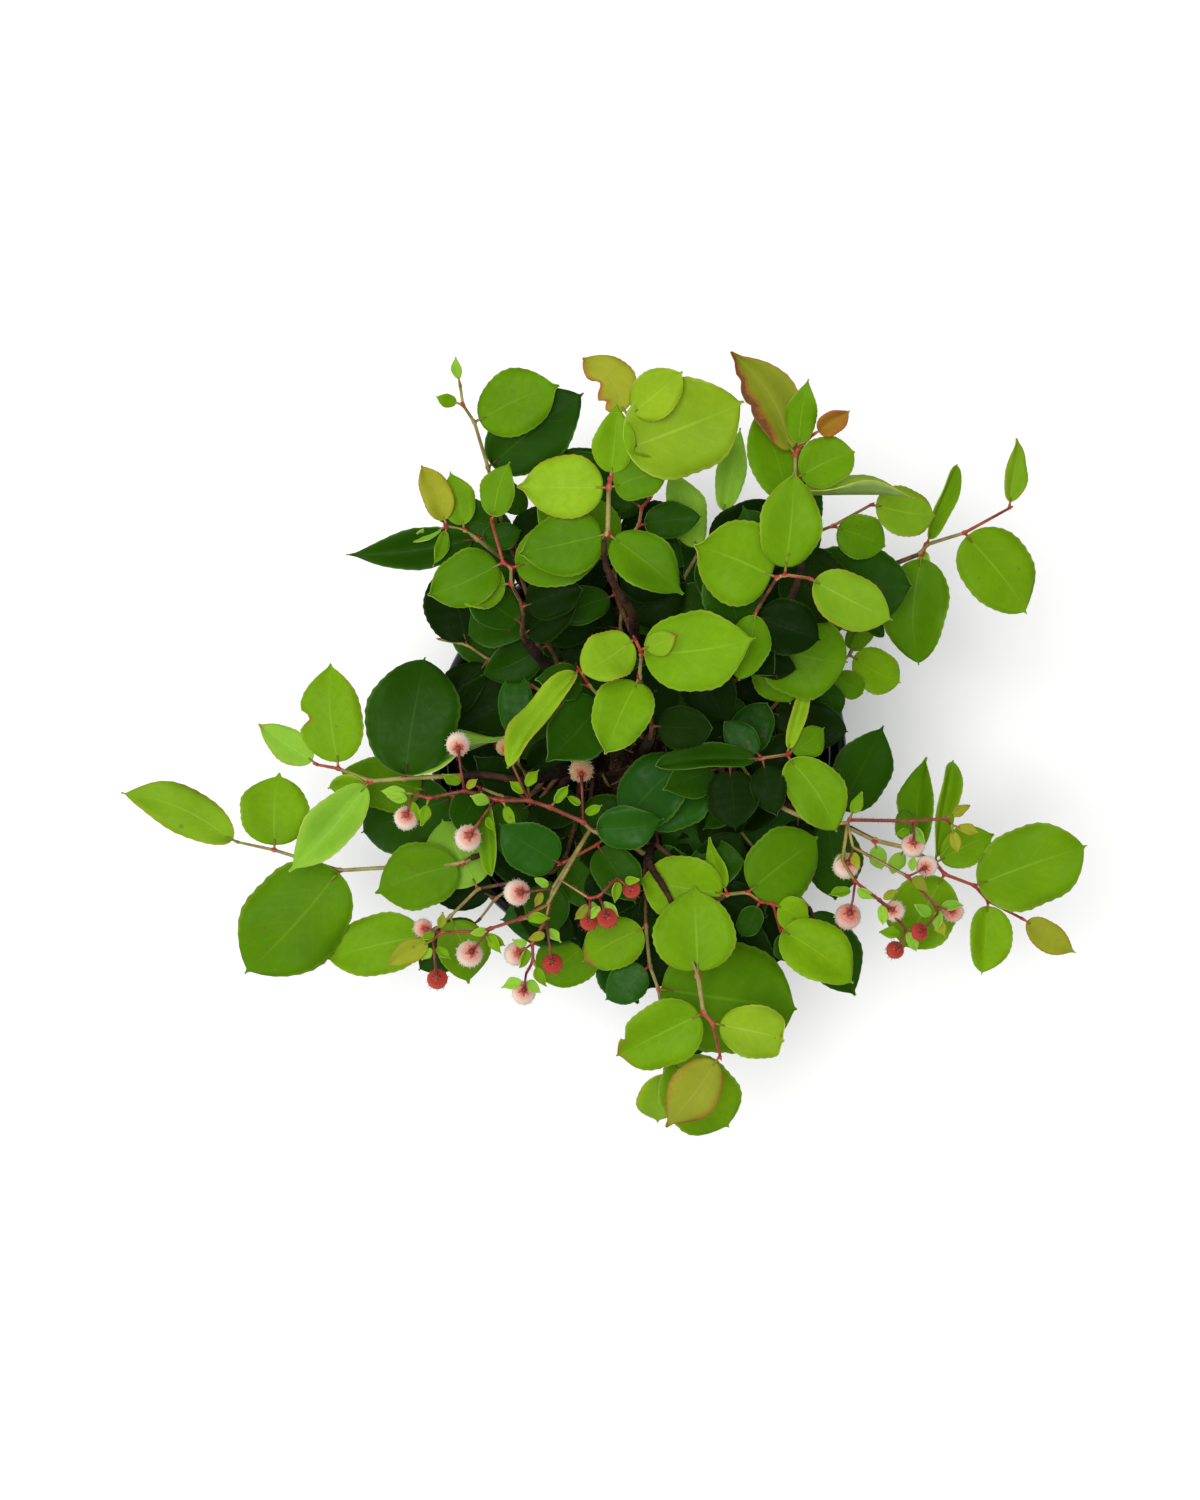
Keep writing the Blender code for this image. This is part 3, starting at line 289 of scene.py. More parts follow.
            (0, -85, 6, "bell", 10), (0.57, 80, 6, "bell", 8), (0.94, 35, 6, "bell", 8),
            (1, -80, 9, "bud", 7))),
        sideShoot((76, -40, 218), (100, -66, 217), bow=-1, leaves=(
            (0.26, -50, 12, "bell", 10), (0.58, 10, 6, "bell", 8), (1, -75, 8, "bud", 7))),
    )),
]

# name, the stem it leaves, how far up, and its way out from the middle in degrees
undergrowth = (
    ("under_left", "stem_left", 0.12, 226),
    ("under_front", "stem_front", 0.14, 282),
    ("under_front_right", "stem_right", 0.12, 318),
    ("under_back_right", "stem_back_right", 0.12, 52),
    ("under_back", "stem_back", 0.14, 95),
    ("under_back_left", "stem_back_left", 0.10, 150),
)
# Sprays whose stems are still tan and green. The others are red towards the tip and brown at the root.
paleStems = ("far_left", "left_low", "front_low", "back_left_young", "back_left_low", "right_side")

low = {
    "reach": (34, 90),
    "height": (173, 173),
    "leaves": 5,
    "first": 0.1,
    "turn": (50, 85),
    "length": (26, 40),
    "endLength": (26, 36),
    "bow": 4,
    "nod": -6,
}


def atMm(place):
    return Vector(place) * mm


def headingOf(direction):
    return math.atan2(direction.y, direction.x)


def ringRound(centre, along, radius, sides, sideWay):
    across = sideWay - along * sideWay.dot(along)
    across.normalize()
    over = along.cross(across)
    points = []
    for side in range(sides):
        angle = math.tau * side / sides
        points.append(centre + (across * math.cos(angle) + over * math.sin(angle)) * radius)
    return points, across


def lofted(rings, tip=None, bm=None):
    # one closed solid through rings of equally many points
    bm = bm or bmesh.new()
    face = bmesh.ops.create_circle(bm, cap_ends=True, segments=len(rings[0]), radius=1)["verts"][0].link_faces[0]
    front = list(face.verts)
    for vert, place in zip(front, rings[0]):
        vert.co = place
    for step, ring in enumerate(rings[1:]):
        grown = bmesh.ops.extrude_face_region(bm, geom=[face])["geom"]
        if step > 0:
            bmesh.ops.delete(bm, geom=[face], context="FACES_ONLY")
        face = next(item for item in grown if isinstance(item, bmesh.types.BMFace))
        twin = {}
        for vert in (item for item in grown if isinstance(item, bmesh.types.BMVert)):
            for old in front:
                if (vert.co - old.co).length_squared == 0:
                    twin[old] = vert
        front = [twin[old] for old in front]
        for vert, place in zip(front, ring):
            vert.co = place
    if tip is not None:
        bmesh.ops.pointmerge(bm, verts=front, merge_co=tip)
    return bm


def tube(points, radii, sides, firstWay=None, bm=None):
    rings = []
    sideWay = Vector((0.31, 0.17, 0.93))
    for index, point in enumerate(points):
        before = points[max(index - 1, 0)]
        after = points[min(index + 1, len(points) - 1)]
        along = (after - before).normalized()
        if index == 0 and firstWay is not None:
            along = firstWay
        ring, sideWay = ringRound(point, along, radii[index], sides, sideWay)
        rings.append(ring)
    return lofted(rings, bm=bm)


def curveBetween(start, startWay, end, endWay, steps):
    reach = (end - start).length * growth["curveReach"]
    a, b, c, d = start, start + startWay * reach, end - endWay * reach, end
    points = []
    for step in range(steps + 1):
        t = step / steps
        s = 1 - t
        points.append(a * s ** 3 + b * 3 * s * s * t + c * 3 * s * t * t + d * t ** 3)
    return points


def evenRadii(root, tip, count):
    return [root + (tip - root) * index / (count - 1) for index in range(count)]


def pointAlong(points, share):
    place = share * (len(points) - 1)
    index = min(int(place), len(points) - 2)
    step = points[index + 1] - points[index]
    return points[index] + step * (place - index), step.normalized()


def departure(limb, share, target):
    if share >= 1:
        end = limb["points"][-1]
        way = (end - limb["points"][-2]).normalized()
        return end + way * growth["gap"], way
    place, along = pointAlong(limb["points"], share)
    radius = limb["root"] + (limb["tip"] - limb["root"]) * share
    out = target - place
    out = (out - along * out.dot(along)).normalized()
    return place + out * (radius + growth["gap"]), out


def shootPlace(spec, share):
    start, end = atMm(spec["start"]), atMm(spec["end"])
    chord = end - start
    side = Vector((-chord.y, chord.x, 0)).normalized()
    swell = 4 * share * (1 - share)
    return start + chord * share + side * (spec["bow"] * mm * swell)


def shootWay(spec, share):
    near = 0.02
    low, high = max(share - near, 0), min(share + near, 1)
    return (shootPlace(spec, high) - shootPlace(spec, low)).normalized()


def spaced(line):
    kept = [line[0]]
    for point in line[1:]:
        if (point - kept[-1]).length > growth["stemStep"]:
            kept.append(point)
    return kept


def shootNodes(spec):
    places = []
    for share, turn in (leaf[:2] for leaf in spec["leaves"]):
        way = shootWay(spec, share)
        left = Vector((-way.y, way.x, 0)).normalized()
        push = math.copysign(growth["zigzag"], turn) if 0 < share < 1 else 0
        place = shootPlace(spec, share) + left * push
        if places and (place - places[-1][0]).dot(way) < growth["nodeSpacing"]:
            place = places[-1][0]
        places.append((place, way))
    return places


def leafFrame(node, way, turn, pitch, roll):
    level = Quaternion((0, 0, 1), headingOf(way) + math.radians(turn))
    raiseTip = Quaternion((0, 1, 0), -math.radians(pitch))
    rollOver = Quaternion((1, 0, 0), math.radians(roll))
    return Matrix.Translation(node) @ (level @ raiseTip @ rollOver).to_matrix().to_4x4()


def leafGuard(placed, length, width):
    # the source's plain leaf, a little fattened, which holds the room that a leaf needs
    spare = growth["clearance"]
    thick = growth["leafThickness"] * length / 2 + spare
    stalk = growth["petioleRadius"] + spare
    petiole = growth["petioleLength"]

    def ring(x, half, rise, lift, sag):
        return [placed @ Vector((x, half, lift - sag)), placed @ Vector((x, 0, rise - sag)),
                placed @ Vector((x, -half, lift - sag)), placed @ Vector((x, 0, -rise - sag))]

    root = growth["petioleRoot"]
    rings = [ring(growth["guardStart"], root, root, 0, 0), ring(petiole, stalk, stalk, 0, 0)]
    for share, swell in growth["leafStations"]:
        half = width / 2 * swell + spare
        rings.append(ring(petiole + length * share, half, thick, growth["leafCup"] * half,
                          growth["leafDroop"] * length * share * share))
    tip = placed @ Vector((petiole + length + spare, 0, -growth["leafDroop"] * length))
    return lofted(rings, tip)


class Room:
    def __init__(self):
        self.taken = []

    def measure(self, bm):
        centre = sum((vert.co for vert in bm.verts), Vector()) / len(bm.verts)
        return BVHTree.FromBMesh(bm), centre, max((vert.co - centre).length for vert in bm.verts)

    def add(self, bm, owner):
        self.taken.append((*self.measure(bm), owner))

    def isFree(self, bm, but=None):
        tree, centre, reach = self.measure(bm)
        for other, middle, span, owner in self.taken:
            if owner == but or (middle - centre).length > span + reach:
                continue
            if tree.overlap(other):
                return False
        return True


def growLeaf(room, spec, node, way, leaf, rng):
    along, turn, length, form, tint = leaf
    share, edgeOn = leafForms[form]
    length = length * mm
    width = length * share * rng.uniform(0.95, 1.05)
    rise = math.degrees(math.asin(max(-1, min(1, way.z))))
    pitch = growth["pitchShare"] * rise + spec["nod"] + rng.uniform(*growth["pitchSpread"])
    roll = rng.uniform(-growth["rollSpread"], growth["rollSpread"]) + math.copysign(edgeOn, turn)
    for attempt in range(growth["tries"]):
        loose = attempt / growth["tries"]
        placed = leafFrame(node, way, turn + rng.uniform(-growth["looseTurn"], growth["looseTurn"]) * loose,
                           pitch + rng.uniform(-growth["loosePitch"], growth["loosePitch"]) * loose,
                           roll + rng.uniform(-growth["looseRoll"], growth["looseRoll"]) * loose)
        guard = leafGuard(placed, length, width)
        if room.isFree(guard, spec["spray"] + "_stem"):
            room.add(guard, "leaf")
            guard.free()
            return dict(placed=placed, length=length, width=width, form=form, tint=tint)
        guard.free()
    return None


def flowerLine(node, out, reach, size):
    hang = (out * growth["urnLean"] - up).normalized()
    shoulder = node + out * reach + up * (growth["pedicelRise"] * reach)
    kneeOut, kneeUp = growth["pedicelKnee"]
    return [node, node + out * (kneeOut * reach) + up * (kneeUp * reach)], shoulder, hang


def flowerGuard(node, out, reach, size):
    points, shoulder, hang = flowerLine(node, out, reach, size)
    radii = [growth["pedicelRadius"], growth["pedicelRadius"]]
    for share, swell in growth["urnStations"]:
        points.append(shoulder + hang * (share * size * growth["urnLength"]))
        radii.append(swell * size + growth["clearance"])
    return tube(points, radii, growth["urnSides"])


def growFlower(room, spec, node, way, leaf, rng):
    along, turn, reach, form, size = leaf
    size = size * mm
    for attempt in range(growth["tries"]):
        loose = attempt / growth["tries"]
        swing = rng.uniform(-growth["looseFlowerTurn"], growth["looseFlowerTurn"]) * loose
        heading = headingOf(way) + math.radians(turn + swing)
        rise = rng.uniform(0, growth["looseFlowerRise"]) * loose
        out = Vector((math.cos(heading), math.sin(heading), rise)).normalized()
        longer = reach * mm * (1 + growth["looseFlowerReach"] * loose)
        guard = flowerGuard(node, out, longer, size)
        if room.isFree(guard, spec["spray"] + "_stem"):
            room.add(guard, form)
            guard.free()
            return dict(node=node, out=out, reach=longer, size=size, form=form)
        guard.free()
    return None


def undergrowthShoot(name, limb, share, wayOut):
    rng = random.Random(name)
    out = math.radians(wayOut)
    ends = []
    for reach, height in zip(low["reach"], low["height"]):
        ends.append((reach * math.cos(out), reach * math.sin(out), height + rng.uniform(-3, 3)))
    leaves = []
    for index in range(low["leaves"]):
        along = low["first"] + (1 - low["first"]) * index / low["leaves"]
        turn = rng.uniform(*low["turn"]) * (1 if index % 2 else -1)
        # the darkest tint here is painted shade for these low inner leaves
        tint = "dark" if index % 3 == 2 else "deep"
        leaves.append((along, turn, rng.uniform(*low["length"]), rng.choice(growth["olderForms"]), tint))
    leaves.append((1, rng.uniform(-10, 10), rng.uniform(*low["endLength"]), "oval", "dark"))
    bow = rng.uniform(-low["bow"], low["bow"])
    return shoot(name, limb, share, ends[0], ends[1], bow=bow, nod=low["nod"], leaves=leaves)


# Growth, in the source's order: stems, boughs, the sprays' stems, and then their leaves and flowers

room = Room()
limbs = {}
for solid in ("pot", "soil"):
    bm = bmesh.new()
    bm.from_mesh(nodes[solid].data)
    room.add(bm, solid)
    bm.free()

allShoots = shoots + [undergrowthShoot(*row) for row in undergrowth]
specs = {spec["spray"]: spec for spec in allShoots}

for name, foot, tip in stems:
    base = Vector((foot[0] * mm, foot[1] * mm, growth["soilTop"] + growth["gap"]))
    top = atMm(tip)
    points = curveBetween(base, up, top, (top - base).normalized(), growth["stemRings"])
    root, end = growth["stemRadius"]
    line = [base, base + (points[1] - base) * growth["stemFlareEnd"]] + points[1:]
    radii = evenRadii(root, end, len(line))
    radii[0] *= growth["stemFlare"]
    bm = tube(line, radii, 8, up)
    room.add(bm, name)
    bm.free()
    limbs[name] = dict(points=points, root=root, tip=end, line=line, radii=radii)

for name, limb, share, spray in boughs:
    end = atMm(specs[spray]["start"])
    start, way = departure(limbs[limb], share, end)
    points = curveBetween(start, way, end, shootWay(specs[spray], 0), growth["boughRings"])
    root, tip = growth["boughRadius"]
    radii = evenRadii(root, tip, len(points))
    bm = tube(points, radii, 6, way)
    room.add(bm, name)
    bm.free()
    limbs[name] = dict(points=points, root=root, tip=tip, line=points, radii=radii)


def growSprayStem(spec):
    begin = atMm(spec["start"])
    start, way = departure(limbs[spec["limb"]], spec["at"], begin)
    if (begin - start).length < growth["shortestLead"]:
        line = [start]
    else:
        line = curveBetween(start, way, begin, shootWay(spec, 0), growth["leadRings"])
    lead = list(line)
    places = shootNodes(spec)
    line = spaced(line + [node for node, along in places])
    root, tip = growth["sprayRadius"]
    twigs = [dict(line=line, radii=evenRadii(root, tip, len(line)), lead=len(lead))]
    held = list(zip(places, spec["leaves"]))
    solids = [tube(line, twigs[0]["radii"], 4, way)]
    for side in spec["sideShoots"]:
        places = shootNodes(side)
        line = spaced([begin, atMm(side["start"])] + [node for node, along in places])
        twigs.append(dict(line=line, radii=evenRadii(growth["sideRadius"], tip, len(line)), lead=2))
        solids.append(tube(line, twigs[-1]["radii"], 3))
        held += list(zip(places, side["leaves"]))
    for bm in solids:
        room.add(bm, spec["spray"] + "_stem")
        bm.free()
    return twigs, held, lead


def leadLeaves(spec, lead):
    # older leaves on the stretch between a spray's limb and its first node, to its two sides in turn
    if spec["spray"].startswith("blossom"):
        return []
    rng = random.Random("lead " + spec["spray"])
    run = sum((after - before).length for before, after in zip(lead, lead[1:]))
    count = min(growth["leadLeaves"], int(run / growth["leadLeafSpacing"]))
    held = []
    for index in range(count):
        turn = rng.uniform(*growth["leadLeafTurn"]) * (1 if index % 2 else -1)
        length = rng.uniform(*growth["leadLeafLength"])
        form = rng.choice(growth["olderForms"])
        # the darkest tint here is painted shade for these inner leaves
        tint = "dark" if index % 2 else "deep"
        held.append((pointAlong(lead, (index + growth["leadLeafStart"]) / count), (0, turn, length, form, tint)))
    return held


# Leaves that are left out, because the sky shows there
skyLeaves = {("under_back_left", 5)}

flowerBracts = {
    "turns": (-62, 48),
    "length": (10 * mm, 15 * mm),
    "slimness": 0.58,
    "scale": 0.55,
    "pitch": (-10, 35),
}


def bractsBy(flower, way):
    # small pale bracts on a flower's stalk, half the size that leaves are drawn at
    rng = random.Random("bract %.4f" % flower["node"].x)
    made = []
    for turn in flowerBracts["turns"]:
        place = flower["node"] + flower["out"] * (flower["reach"] * rng.uniform(0, 0.4))
        placed = leafFrame(place, flower["out"], turn + rng.uniform(-25, 25), rng.uniform(*flowerBracts["pitch"]),
                           rng.uniform(-25, 25)) @ Matrix.Scale(flowerBracts["scale"], 4)
        length = rng.uniform(*flowerBracts["length"])
        made.append(dict(placed=placed, length=length, width=length * flowerBracts["slimness"], form="bract",
                         tint=rng.choice(("pale", "young", "bronze")), number=None))
    return made


def growAll(spray, held, rng, first=0):
    # a leaf's number counts from the root of its spray, and picks out its own look
    name = spray["spec"]["spray"]
    bracts = []
    for number, ((node, way), leaf) in enumerate(held):
        if leaf[3] in ("bell", "bud"):
            flower = growFlower(room, spray["spec"], node, way, leaf, rng)
            if flower:
                flower["number"] = number
                spray["flowers"].append(flower)
                bracts += bractsBy(flower, way)
        else:
            grown = growLeaf(room, spray["spec"], node, way, leaf, rng)
            if grown and (name, first + number) not in skyLeaves:
                grown["number"] = first + number
                spray["leaves"].append(grown)
    spray["leaves"] += bracts


sprays = []
for spec in allShoots:
    twigs, held, lead = growSprayStem(spec)
    sprays.append(dict(spec=spec, twigs=twigs, held=held, lead=lead, leaves=[], flowers=[]))
for spray in sprays:
    growAll(spray, spray["held"], random.Random(spray["spec"]["spray"]))
for spray in sprays:
    seed = "lead " + spray["spec"]["spray"]
    growAll(spray, leadLeaves(spray["spec"], spray["lead"]), random.Random(seed), len(spray["held"]))
print("grown:", len(sprays), "sprays with", sum(len(s["leaves"]) for s in sprays), "leaves and",
      sum(len(s["flowers"]) for s in sprays), "flowers")


# Materials

def newMaterial(name, **values):
    made = bpy.data.materials.new(name)
    made.use_nodes = True
    shader = made.node_tree.nodes["Principled BSDF"]
    for socket, value in values.items():
        shader.inputs[socket].default_value = value
    return made, made.node_tree, shader


def link(tree, fromSocket, toSocket):
    tree.links.new(fromSocket, toSocket)


def mathNode(tree, operation, a, b=None, clamp=False):
    made = tree.nodes.new("ShaderNodeMath")
    made.operation = operation
    made.use_clamp = clamp
    for slot, value in ((0, a), (1, b)):
        if value is None:
            continue
        if isinstance(value, (int, float)):
            made.inputs[slot].default_value = value
        else:
            link(tree, value, made.inputs[slot])
    return made.outputs[0]


def mixColour(tree, share, a, b, mode="MIX"):
    made = tree.nodes.new("ShaderNodeMix")
    made.data_type = "RGBA"
    made.blend_type = mode
    for slot, value in ((0, share), (6, a), (7, b)):
        if isinstance(value, (int, float)):
            made.inputs[slot].default_value = value
        elif isinstance(value, tuple):
            made.inputs[slot].default_value = (*value, 1)
        else:
            link(tree, value, made.inputs[slot])
    return made.outputs[2]


def noiseOf(tree, vector, scale, detail=3, roughness=0.5):
    made = tree.nodes.new("ShaderNodeTexNoise")
    made.inputs["Scale"].default_value = scale
    made.inputs["Detail"].default_value = detail
    made.inputs["Roughness"].default_value = roughness
    link(tree, vector, made.inputs["Vector"])
    return made.outputs["Fac"]


def spread(tree, value, low, high, toLow=0.0, toHigh=1.0):
    made = tree.nodes.new("ShaderNodeMapRange")
    made.interpolation_type = "SMOOTHSTEP"
    link(tree, value, made.inputs["Value"])
    for socket, number in (("From Min", low), ("From Max", high), ("To Min", toLow), ("To Max", toHigh)):
        made.inputs[socket].default_value = number
    return made.outputs["Result"]


def objectCoords(tree):
    return tree.nodes.new("ShaderNodeTexCoord").outputs["Object"]


def bumped(tree, shader, height, strength, distance):
    made = tree.nodes.new("ShaderNodeBump")
    made.inputs["Strength"].default_value = strength
    made.inputs["Distance"].default_value = distance
    link(tree, height, made.inputs["Height"])
    link(tree, made.outputs["Normal"], shader.inputs["Normal"])


leafLook = {
    "veins": 6.5,            # side veins on each half of a blade
    "veinSlant": 2.3,
    "veinWidth": 0.10,
    "veinShow": 0.09,
    "midribWidth": 0.026,
    "midribShow": 0.42,
    "marginShow": 0.50,
    "specks": 0.45,
    "scorch": (0.120, 0.050, 0.020),
    "blush": (0.300, 0.058, 0.022),
}

# base colour, vein colour, underside colour, margin colour, roughness, gloss
leafColours = {
    "young": ((0.120, 0.255, 0.0024), (0.21, 0.39, 0.02), (0.23, 0.37, 0.06), (0.24, 0.34, 0.03), 0.50, 0.05),
    "light": ((0.200, 0.325, 0.0090), (0.30, 0.46, 0.04), (0.28, 0.42, 0.09), (0.34, 0.41, 0.05), 0.50, 0.06),
    "yellow": ((0.170, 0.315, 0.0090), (0.26, 0.43, 0.04), (0.29, 0.42, 0.08), (0.34, 0.25, 0.03), 0.50, 0.05),
    "mid": ((0.074, 0.184, 0.0008), (0.13, 0.27, 0.01), (0.18, 0.32, 0.06), (0.17, 0.28, 0.02), 0.50, 0.05),
    "dark": ((0.0150, 0.060, 0.0004), (0.036, 0.10, 0.006), (0.10, 0.20, 0.04), (0.07, 0.15, 0.02), 0.48, 0.05),
    # the darkest tint is painted shade for the leaves inside the crown, laid over the older leaves' own dark green
    "deep": ((0.0046, 0.0170, 0.0004), (0.011, 0.034, 0.003), (0.05, 0.11, 0.025), (0.022, 0.052, 0.006), 0.48, 0.03),
    "blue": ((0.0125, 0.069, 0.0022), (0.034, 0.11, 0.010), (0.09, 0.18, 0.05), (0.08, 0.17, 0.02), 0.44, 0.08),
    "pale": ((0.190, 0.385, 0.027), (0.28, 0.48, 0.07), (0.27, 0.43, 0.11), (0.36, 0.43, 0.08), 0.52, 0.08),
    "bronze": ((0.235, 0.265, 0.016), (0.29, 0.32, 0.03), (0.29, 0.20, 0.06), (0.36, 0.11, 0.03), 0.50, 0.05),
    "orange": ((0.230, 0.118, 0.011), (0.31, 0.17, 0.03), (0.28, 0.15, 0.06), (0.28, 0.06, 0.02), 0.50, 0.05),
}


def scaled(colour, *by):
    return tuple(min(1, c * k) for c, k in zip(colour, by))


def leafUpper(tint):
    base, vein, under, margin, rough, gloss = leafColours[tint]
    made, tree, shader = newMaterial("leafUpper_" + tint, **{"Specular IOR Level": gloss})
    uv = tree.nodes.new("ShaderNodeUVMap")
    uv.uv_map = "blade"
    parts = tree.nodes.new("ShaderNodeSeparateXYZ")
    link(tree, uv.outputs["UV"], parts.inputs[0])
    along = parts.outputs["X"]
    aside = mathNode(tree, "ABSOLUTE", mathNode(tree, "SUBTRACT", mathNode(tree, "MULTIPLY", parts.outputs["Y"], 2), 1))
    coords = objectCoords(tree)
    wander = mathNode(tree, "MULTIPLY", noiseOf(tree, coords, 90, 2), 0.35)
    phase = mathNode(tree, "ADD", mathNode(tree, "SUBTRACT", mathNode(tree, "MULTIPLY", along, leafLook["veins"]),
                                           mathNode(tree, "MULTIPLY", aside, leafLook["veinSlant"])), wander)
    ripple = mathNode(tree, "PINGPONG", phase, 0.5)
    sideVein = spread(tree, ripple, 0.0, leafLook["veinWidth"], 1, 0)
    sideVein = mathNode(tree, "MULTIPLY", sideVein, spread(tree, aside, 0.45, 0.95, 1, 0))
    midrib = spread(tree, aside, leafLook["midribWidth"] * 0.4, leafLook["midribWidth"] * 1.8, 1, 0)
    midrib = mathNode(tree, "MULTIPLY", midrib, spread(tree, along, 0.35, 0.95, 1, 0.25))
    veins = mathNode(tree, "MAXIMUM", mathNode(tree, "MULTIPLY", sideVein, leafLook["veinShow"]),
                     mathNode(tree, "MULTIPLY", midrib, leafLook["midribShow"]))
    blotch = noiseOf(tree, coords, 42, 4, 0.55)
    mottle = noiseOf(tree, coords, 420, 3, 0.6)
    # each leaf has a random tone of its own, from darker to brighter, and large blotches on top of it paint light and
    # shade across the blade
    tone = tree.nodes.new("ShaderNodeAttribute")
    tone.attribute_name = "tone"
    toneAndPaintedLight = mathNode(tree, "ADD", tone.outputs["Fac"], mathNode(tree, "MULTIPLY", mathNode(tree, "SUBTRACT", blotch, 0.5), 1.2),
                     clamp=True)
    colour = mixColour(tree, toneAndPaintedLight, scaled(base, 0.66, 0.74, 0.80), scaled(base, 1.30, 1.20, 1.15))
    colour = mixColour(tree, mathNode(tree, "MULTIPLY", spread(tree, mottle, 0.35, 0.7), 0.30), colour,
                       scaled(base, 0.80, 0.84, 0.80))
    colour = mixColour(tree, veins, colour, vein)
    colour = mixColour(tree, spread(tree, aside, 0.90, 0.99, 0, leafLook["marginShow"]), colour, margin)
    # the hurt that each leaf carries: brown where it is strong and edged with a red blush
    hurt = tree.nodes.new("ShaderNodeAttribute")
    hurt.attribute_name = "hurt"
    ragged = mathNode(tree, "ADD", hurt.outputs["Fac"],
                      mathNode(tree, "MULTIPLY", mathNode(tree, "SUBTRACT", noiseOf(tree, coords, 330, 5, 0.65), 0.5), 0.6))
    colour = mixColour(tree, spread(tree, ragged, 0.22, 0.62, 0, 0.68), colour, leafLook["blush"])
    colour = mixColour(tree, spread(tree, ragged, 0.62, 0.78, 0, 0.90), colour, leafLook["scorch"])
    # a few small brown specks
    speck = spread(tree, noiseOf(tree, coords, 230, 1, 0.4), 0.765, 0.80, 0, leafLook["specks"])
    colour = mixColour(tree, speck, colour, leafLook["scorch"])
    link(tree, colour, shader.inputs["Base Color"])
    link(tree, spread(tree, mottle, 0.3, 0.75, rough - 0.06, rough + 0.10), shader.inputs["Roughness"])
    height = mathNode(tree, "ADD", mathNode(tree, "MULTIPLY", veins, -0.8), mathNode(tree, "MULTIPLY", mottle, 0.14))
    bumped(tree, shader, height, 0.35, 0.0004)
    return made


def leafUnder(tint):
    under = leafColours[tint][2]
    made, tree, shader = newMaterial("leafUnder_" + tint, **{"Specular IOR Level": 0.15})
    coords = objectCoords(tree)
    blotch = noiseOf(tree, coords, 80, 4, 0.6)
    colour = mixColour(tree, spread(tree, blotch, 0.3, 0.7), tuple(0.75 * c for c in under), under)
    link(tree, colour, shader.inputs["Base Color"])
    link(tree, spread(tree, blotch, 0.3, 0.7, 0.55, 0.68), shader.inputs["Roughness"])
    bumped(tree, shader, noiseOf(tree, coords, 700, 2), 0.25, 0.0003)
    return made


def leafMargin(tint):
    margin = leafColours[tint][3]
    return plainGrain("leafMargin_" + tint, tuple(0.8 * c for c in margin), tuple(min(1, 1.25 * c) for c in margin),
                      200, 0.5, 1200)


def plainGrain(name, low, high, scale, roughness, bumpScale=900, bumpHeight=0.0003, strength=0.4, blend=(0.35, 0.68),
               gloss=0.25):
    made, tree, shader = newMaterial(name, **{"Specular IOR Level": gloss})
    coords = objectCoords(tree)
    link(tree, mixColour(tree, spread(tree, noiseOf(tree, coords, scale, 5, 0.6), *blend), low, high),
         shader.inputs["Base Color"])
    grain = noiseOf(tree, coords, bumpScale, 4, 0.6)
    link(tree, spread(tree, grain, 0.3, 0.7, roughness - 0.1, roughness + 0.1), shader.inputs["Roughness"])
    bumped(tree, shader, grain, strength, bumpHeight)
    return made


# the stems' and boughs' browns are the bark's own colour, darkened further as painted shade for wood inside the crown
woodBrownShaded = plainGrain("woodBrownShaded", (0.009, 0.005, 0.004), (0.030, 0.016, 0.010), 260, 0.75, 700, 0.0008, 0.7, gloss=0.1)
boughBrownShaded = plainGrain("boughBrownShaded", (0.018, 0.008, 0.005), (0.055, 0.024, 0.013), 220, 0.65, 900, 0.0006, 0.6, gloss=0.1)
stemBrown = plainGrain("stemBrown", (0.055, 0.022, 0.012), (0.140, 0.066, 0.030), 200, 0.6, 1000, gloss=0.15)
stemTan = plainGrain("stemTan", (0.16, 0.13, 0.035), (0.30, 0.25, 0.075), 150, 0.5, 1200)
stemRed = plainGrain("stemRed", (0.185, 0.026, 0.014), (0.340, 0.072, 0.034), 160, 0.42, 1200)
racemeRed = plainGrain("racemeRed", (0.120, 0.020, 0.014), (0.235, 0.055, 0.034), 160, 0.5, 1200)
nodeRed = plainGrain("nodeRed", (0.25, 0.018, 0.014), (0.42, 0.05, 0.03), 400, 0.4, 1200)
petioleGreen = plainGrain("petioleGreen", (0.17, 0.12, 0.02), (0.17, 0.22, 0.025), 120, 0.42, 1200)
calyxRed = plainGrain("calyxRed", (0.30, 0.040, 0.030), (0.50, 0.13, 0.09), 420, 0.6, 2000, 0.0004, 0.8, gloss=0.15)
hairCream = plainGrain("hairCream", (0.70, 0.58, 0.50), (0.84, 0.76, 0.67), 500, 0.7, 1500, gloss=0.1)
hairRed = plainGrain("hairRed", (0.34, 0.045, 0.030), (0.50, 0.12, 0.08), 500, 0.7, 1500, gloss=0.1)
chipDark = plainGrain("chipDark", (0.010, 0.007, 0.005), (0.055, 0.030, 0.016), 240, 0.9, 600, 0.0012, 0.9, gloss=0.1)
chipBrown = plainGrain("chipBrown", (0.050, 0.028, 0.014), (0.160, 0.090, 0.045), 240, 0.88, 600, 0.0012, 0.9, gloss=0.1)
# the straws' pale tan is darkened as painted shade, for straws lying under the leaves
strawInShade = plainGrain("strawInShade", (0.11, 0.08, 0.03), (0.27, 0.21, 0.10), 300, 0.8, 900, gloss=0.1)


